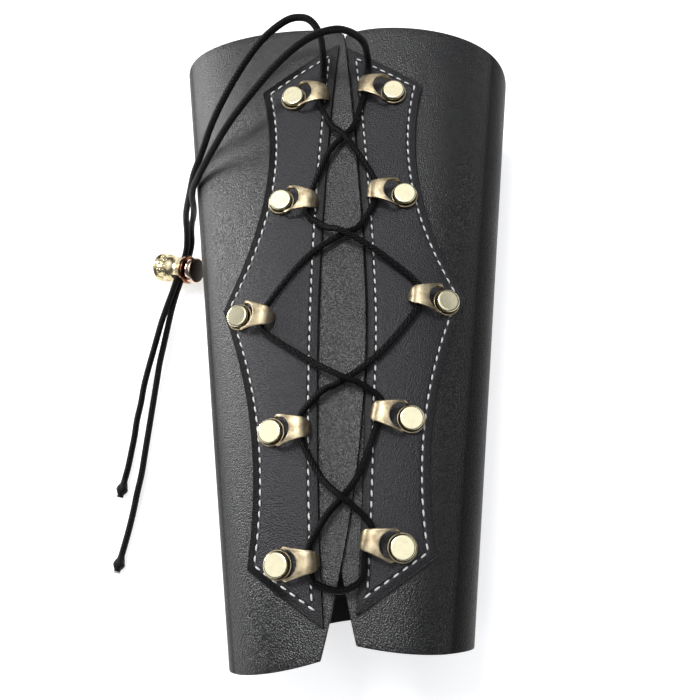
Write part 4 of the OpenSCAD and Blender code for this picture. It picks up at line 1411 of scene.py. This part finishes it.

# %% [markdown]
# Black leather is seen almost only by its shine. It has three layers: a fine pebble grain, a soft waviness
# of the hide, and slow changes of colour and gloss. A photograph of leather wrapped over the pieces would
# stretch where they bend, so the layers are patterns in space. Panels read the distance from their
# outline, which sinks the stitch channel and paints shade on the border, darker and duller, darkest on the
# outer side of the left panel. The sleeve reads how far up each place faces, for a painted sheen on the
# top and the left and painted shade on the sides.

# %% Leather
GRAIN_CELLS, GRAIN_DEEP, GRAIN_ROUGH = 1800.0, 0.00020, 0.15
FINE_GRAIN, FINE_SHARE = 3400, 0.3
TONE_PATCHES, TONE_LOW, TONE_HIGH, TONE_ROUGH = 34, 0.3, 0.7, 0.08
HIDE_WAVES, WAVE_DEEP, WAVE_SHARE = 70, 0.0006, 0.12
PIT_FROM, PIT_TO, PIT_GLOSS = 0.1, 0.6, 0.6
CHANNEL_HALF, CHANNEL_DEEP, CHANNEL_SHARE = 0.75, 0.0006, 0.8
# Painted shade of the panel border: its tone, and on the left panel's outer side a darker, less glossy band.
SKIVE_FROM, BORDER_SHADE_TONE, SKIVE_ROUGH = 0.4, 0.006, 0.12
SHADE_BAND_FADE, SHADE_BAND_TONE, SHADE_BAND_GLOSS = 0.6, 0.003, 0.25
SIDE_WAY, TOP_WAY, SIDE_SHADE_GLOSS = 0.70, 0.97, 0.04
FLESH_PATCHES, FLESH_NAP, NAP_DEEP = 60, 1600, 0.0003


def panel_edge(n, base, rough, gloss, normal):
    """Colour, roughness, gloss and relief of the leather, changed along the border of a panel, with shade painted
    there.
    """
    rim = n.kept("rim")
    off = n.add("ShaderNodeMath", {0: n.sum(rim, STITCH_IN, "SUBTRACT")}, operation="ABSOLUTE").outputs[0]
    normal = n.bump(n.span(off, 0.0, CHANNEL_HALF), CHANNEL_DEEP, CHANNEL_SHARE, normal)
    # Painted shade: the border darker and duller, the outer side of the left panel darkest and least glossy.
    border = n.span(rim, SKIVE_FROM, STITCH_IN)
    painted_shade_band = n.times(n.span(rim, STITCH_IN - SHADE_BAND_FADE, STITCH_IN, 1.0, 0.0), n.kept("painted_shade_edge"))
    base = n.blend(painted_shade_band, n.blend(border, grey(BORDER_SHADE_TONE), base), grey(SHADE_BAND_TONE))
    rough = n.sum(rough, n.span(border, 0.0, 1.0, SKIVE_ROUGH, 0.0))
    gloss = n.times(gloss, n.span(painted_shade_band, 0.0, 1.0, 1.0, SHADE_BAND_GLOSS))
    return base, rough, gloss, normal


def leather(name, has_rim, dark, light, smoothest, shine):
    """A leather between two tones. smoothest is its least roughness, and shine its full gloss."""
    n = Nodes(name)
    grain = n.cells(GRAIN_CELLS)
    tone = n.noise(TONE_PATCHES, 4)
    height = n.sum(n.times(grain, -1.0), n.times(n.noise(FINE_GRAIN, 2), FINE_SHARE))
    base = n.blend(tone, dark, light)
    rough = n.sum(n.span(tone, TONE_LOW, TONE_HIGH, smoothest, smoothest + TONE_ROUGH),
                  n.times(grain, GRAIN_ROUGH))
    gloss = n.span(grain, PIT_FROM, PIT_TO, shine, PIT_GLOSS * shine)
    normal = n.bump(n.noise(HIDE_WAVES, 2), WAVE_DEEP, WAVE_SHARE)
    if has_rim:
        base, rough, gloss, normal = panel_edge(n, base, rough, gloss, normal)
    else:
        # Painted shade and sheen: the gloss falls away on the sides and stays full on the top and the left.
        gloss = n.times(gloss, n.span(n.kept("painted_sheen_mask"), SIDE_WAY, TOP_WAY, SIDE_SHADE_GLOSS, 1.0))
    n.surface(Base_Color=base, Roughness=rough, Normal=n.bump(height, GRAIN_DEEP, 1.0, normal),
              Specular_IOR_Level=gloss)
    return n.material


shell_leather = leather("shell leather", has_rim=False, dark=grey(0.0070, 1.04),
                        light=grey(0.0110, 1.04), smoothest=0.20, shine=1.0)
panel_leather = leather("panel leather", has_rim=True, dark=(0.0135, 0.0125, 0.0155, 1),
                        light=(0.018, 0.0165, 0.020, 1), smoothest=0.33, shine=0.62)

flesh = Nodes("flesh side")
flesh_tone = flesh.blend(flesh.noise(FLESH_PATCHES), grey(0.010), grey(0.020))
flesh.surface(Base_Color=flesh_tone, Roughness=0.92, Sheen_Weight=0.25,
              Normal=flesh.bump(flesh.noise(FLESH_NAP, 4, 0.7), NAP_DEEP))

dress(shell, shell_leather, flesh.material)
for panel in panels.values():
    dress(panel, panel_leather, flesh.material)
print("leather finishes:", [shell_leather.name, panel_leather.name, flesh.material.name])

# %% [markdown]
# The thread is matt and white, with a slight twist. The cord is a braided sleeve over elastic. Its braid
# could be modelled strand by strand, which nobody sees at this size. Instead it follows the UV map that
# the tube got: one number runs along the cord and one round it, and two crossed waves of them make the
# woven look.

# %% Thread and cord
THREAD_TWIST, TWIST_DEEP = 2600, 0.0002
BRAID_PITCH, BRAID_STRANDS, BRAID_FUZZ, FUZZ_SHARE, BRAID_DEEP = 2.2, 6.0, 2500, 0.6, 0.00020
KNOT_FUZZ, KNOT_DEEP = 2200, 0.00025

thread_look = Nodes("white thread")
twist = thread_look.noise(THREAD_TWIST, 2)
thread_white = thread_look.blend(twist, (0.62, 0.62, 0.60, 1), (0.80, 0.80, 0.78, 1))
thread_look.surface(Base_Color=thread_white, Roughness=0.75, Normal=thread_look.bump(twist, TWIST_DEEP),
                    Sheen_Weight=0.2)
for stitches in stitch_rows:
    dress(stitches, thread_look.material)


def braid(name, length, diameter):
    """A woven finish for a cord of that length and thickness."""
    n = Nodes(name)
    uv = n.add("ShaderNodeUVMap").outputs["UV"]
    parts = n.add("ShaderNodeSeparateXYZ", {"Vector": uv})
    run = n.times(parts.outputs[0], length / diameter * BRAID_PITCH)
    turn = n.times(parts.outputs[1], BRAID_STRANDS)
    waves = []
    for way in ("ADD", "SUBTRACT"):
        wave = n.add("ShaderNodeMath", {0: n.times(n.sum(run, turn, way), 2 * math.pi)}, operation="SINE")
        waves.append(wave.outputs[0])
    weave = n.sum(waves[0], waves[1], "MAXIMUM")
    fuzz = n.noise(BRAID_FUZZ, 3)
    height = n.sum(weave, n.times(fuzz, FUZZ_SHARE))
    n.surface(Base_Color=n.blend(fuzz, grey(0.001), grey(0.003)), Roughness=0.5,
              Specular_IOR_Level=0.2, Normal=n.bump(height, BRAID_DEEP))
    return n.material


dress(lacing, braid("lacing braid", length_of(lace_line), LACE_D * MM))
dress(left_cord, braid("left braid", length_of(left_line), TAIL_D * MM))
dress(right_cord, braid("right braid", length_of(right_line), TAIL_D * MM))
knot_look = Nodes("knotted cord")
knot_fuzz = knot_look.noise(KNOT_FUZZ, 3)
knot_look.surface(Base_Color=knot_look.blend(knot_fuzz, grey(0.001), grey(0.005)), Roughness=0.6,
                  Specular_IOR_Level=0.25, Normal=knot_look.bump(knot_fuzz, KNOT_DEEP))
sealed_look = Nodes("sealed cord end")
sealed_look.surface(Base_Color=grey(0.45), Roughness=0.4)
for knot in knots:
    dress(knot, knot_look.material, sealed_look.material)
print("waves of the braid along the lacing:", round(length_of(lace_line) / (LACE_D * MM) * BRAID_PITCH))

# %% [markdown]
# The metals differ in colour, in how dark their patina is and in how finely they are worn: dull cast
# brass for the loops, bright caps on the rivets, and a gold and a rose part on the lock. Flat colours
# would look like plastic. So one recipe lets slow patches fade to the patina, and lets a fine noise
# change the roughness and scratch the surface.

# %% Metals
WEAR_LINES, WEAR_LOW, WEAR_HIGH, PATINA_PATCHES, PATINA_FROM, PATINA_TO = 2400, 0.3, 0.7, 420, 0.42, 0.66


def metal(name, colour, dark, rough_low, rough_high, scratch):
    """A metal and its patina, with a span of roughness and the depth of its scratches."""
    n = Nodes(name)
    lines = n.noise(WEAR_LINES, 3, 0.6)
    patina = n.span(n.noise(PATINA_PATCHES, 4), PATINA_FROM, PATINA_TO)
    n.surface(Base_Color=n.blend(patina, colour, dark), Metallic=1.0,
              Roughness=n.span(lines, WEAR_LOW, WEAR_HIGH, rough_low, rough_high),
              Normal=n.bump(lines, scratch))
    return n.material


brass = metal("antique brass", (0.46, 0.39, 0.26, 1), (0.27, 0.21, 0.13, 1), 0.36, 0.48, 0.00004)
rivet_gold = metal("rivet gold", (0.84, 0.78, 0.54, 1), (0.79, 0.73, 0.50, 1), 0.22, 0.25, 0.0)
lock_gold = metal("lock gold", (0.74, 0.65, 0.41, 1), (0.56, 0.45, 0.24, 1), 0.18, 0.3, 0.00003)
lock_rose = metal("lock rose", (0.82, 0.62, 0.48, 1), (0.74, 0.53, 0.40, 1), 0.10, 0.2, 0.000004)
# Painted shade: a near-black metal for the plunger's end, in place of the shadowed table it would mirror.
painted_shade_end = metal("lock end painted shade", (0.018, 0.012, 0.009, 1), (0.012, 0.008, 0.006, 1), 0.25, 0.35, 0.0)
dark_rose = metal("dark rose collar", (0.30, 0.15, 0.08, 1), (0.20, 0.09, 0.05, 1), 0.10, 0.2, 0.000004)
steel = metal("spring steel", (0.6, 0.6, 0.6, 1), (0.45, 0.45, 0.45, 1), 0.2, 0.35, 0.00002)
for piece in loops + [rivet_caps]:
    dress(piece, brass)
dress(rivets, rivet_gold)
dress(lock_barrel, lock_gold, dark_rose)
dress(lock_plunger, lock_rose, painted_shade_end)
dress(spring, steel)
print("pieces in brass:", len(loops) + 1)

# %% [markdown]
# The guard lies on a white table. Strong lamps would make the table white, but also bleach the metal.
# So the table adds a little light of its own, only where the camera, a mirror or clear stuff looks at
# it. It goes to plain white where it is fully lit and keeps the soft shadows.

# %% Table
TABLE_LIFT, TABLE_WHITE, TABLE_SIZE, TABLE_DROP = 0.62, 0.82, 3, 0.0002

table_form = bmesh.new()
bmesh.ops.create_grid(table_form, x_segments=1, y_segments=1, size=TABLE_SIZE)
table_mesh = bpy.data.meshes.new("table")
table_form.to_mesh(table_mesh)
table_form.free()
table = bpy.data.objects.new("table", table_mesh)
bpy.context.scene.collection.objects.link(table)
table.location.z = -TABLE_DROP
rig.stage(table)
white = Nodes("white table")
white.surface(Base_Color=grey(TABLE_WHITE), Roughness=0.9, Specular_IOR_Level=0.1)
path = white.add("ShaderNodeLightPath").outputs
seen = white.sum(white.sum(path["Is Camera Ray"], path["Is Glossy Ray"]), path["Is Transmission Ray"])
white.surface(Emission_Color=(1, 1, 1, 1), Emission_Strength=white.times(seen, TABLE_LIFT))
dress(table, white.material)
print("table size, m:", 2 * TABLE_SIZE)

# %% [markdown]
# The light is that of a small studio. A single large lamp would flatten the leather. A low lamp at the
# left draws the light edge along that flank, a wide one hangs above, and a small one gives the metal its
# bright spots. The rest of the room is a dim, slightly blue sky.

# %% Light
SKY, SKY_STRENGTH = (0.78, 0.84, 1, 1), 0.15
LAMP_AIM = Vector((0, 0.1, 0.03))

world = bpy.data.worlds.new("studio")
bpy.context.scene.world = world
world.use_nodes = True
background = world.node_tree.nodes["Background"]
background.inputs["Color"].default_value = SKY
background.inputs["Strength"].default_value = SKY_STRENGTH


def lamp(name, place, size, power):
    """A round lamp that faces the guard, with its place and size in metres and its power in watts."""
    light = bpy.data.lights.new(name, "AREA")
    light.shape, light.size, light.energy = "DISK", size, power
    item = bpy.data.objects.new(name, light)
    bpy.context.scene.collection.objects.link(item)
    item.location = place
    item.rotation_euler = (LAMP_AIM - Vector(place)).to_track_quat("-Z", "Y").to_euler()
    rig.stage(item)
    print(name, "watts:", power)


lamp("side lamp", (-1.0, 0.42, 0.20), 0.45, 7.5)
lamp("ceiling lamp", (-0.1, 0.2, 1.1), 2.0, 10.0)
lamp("key lamp", (-0.15, 0.26, 0.97), 0.25, 4.5)
bpy.context.scene.view_settings.view_transform = "Standard"

# %% [markdown]
# The sizes at the start and at the end are written down, so that it shows whether the dressed guard has
# kept the construction model's size.

# %% Finish
end_box = [list(corner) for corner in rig.bounds()]
with open("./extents.json", "w") as out:
    json.dump({"cad": cad_box, "visual": end_box}, out)
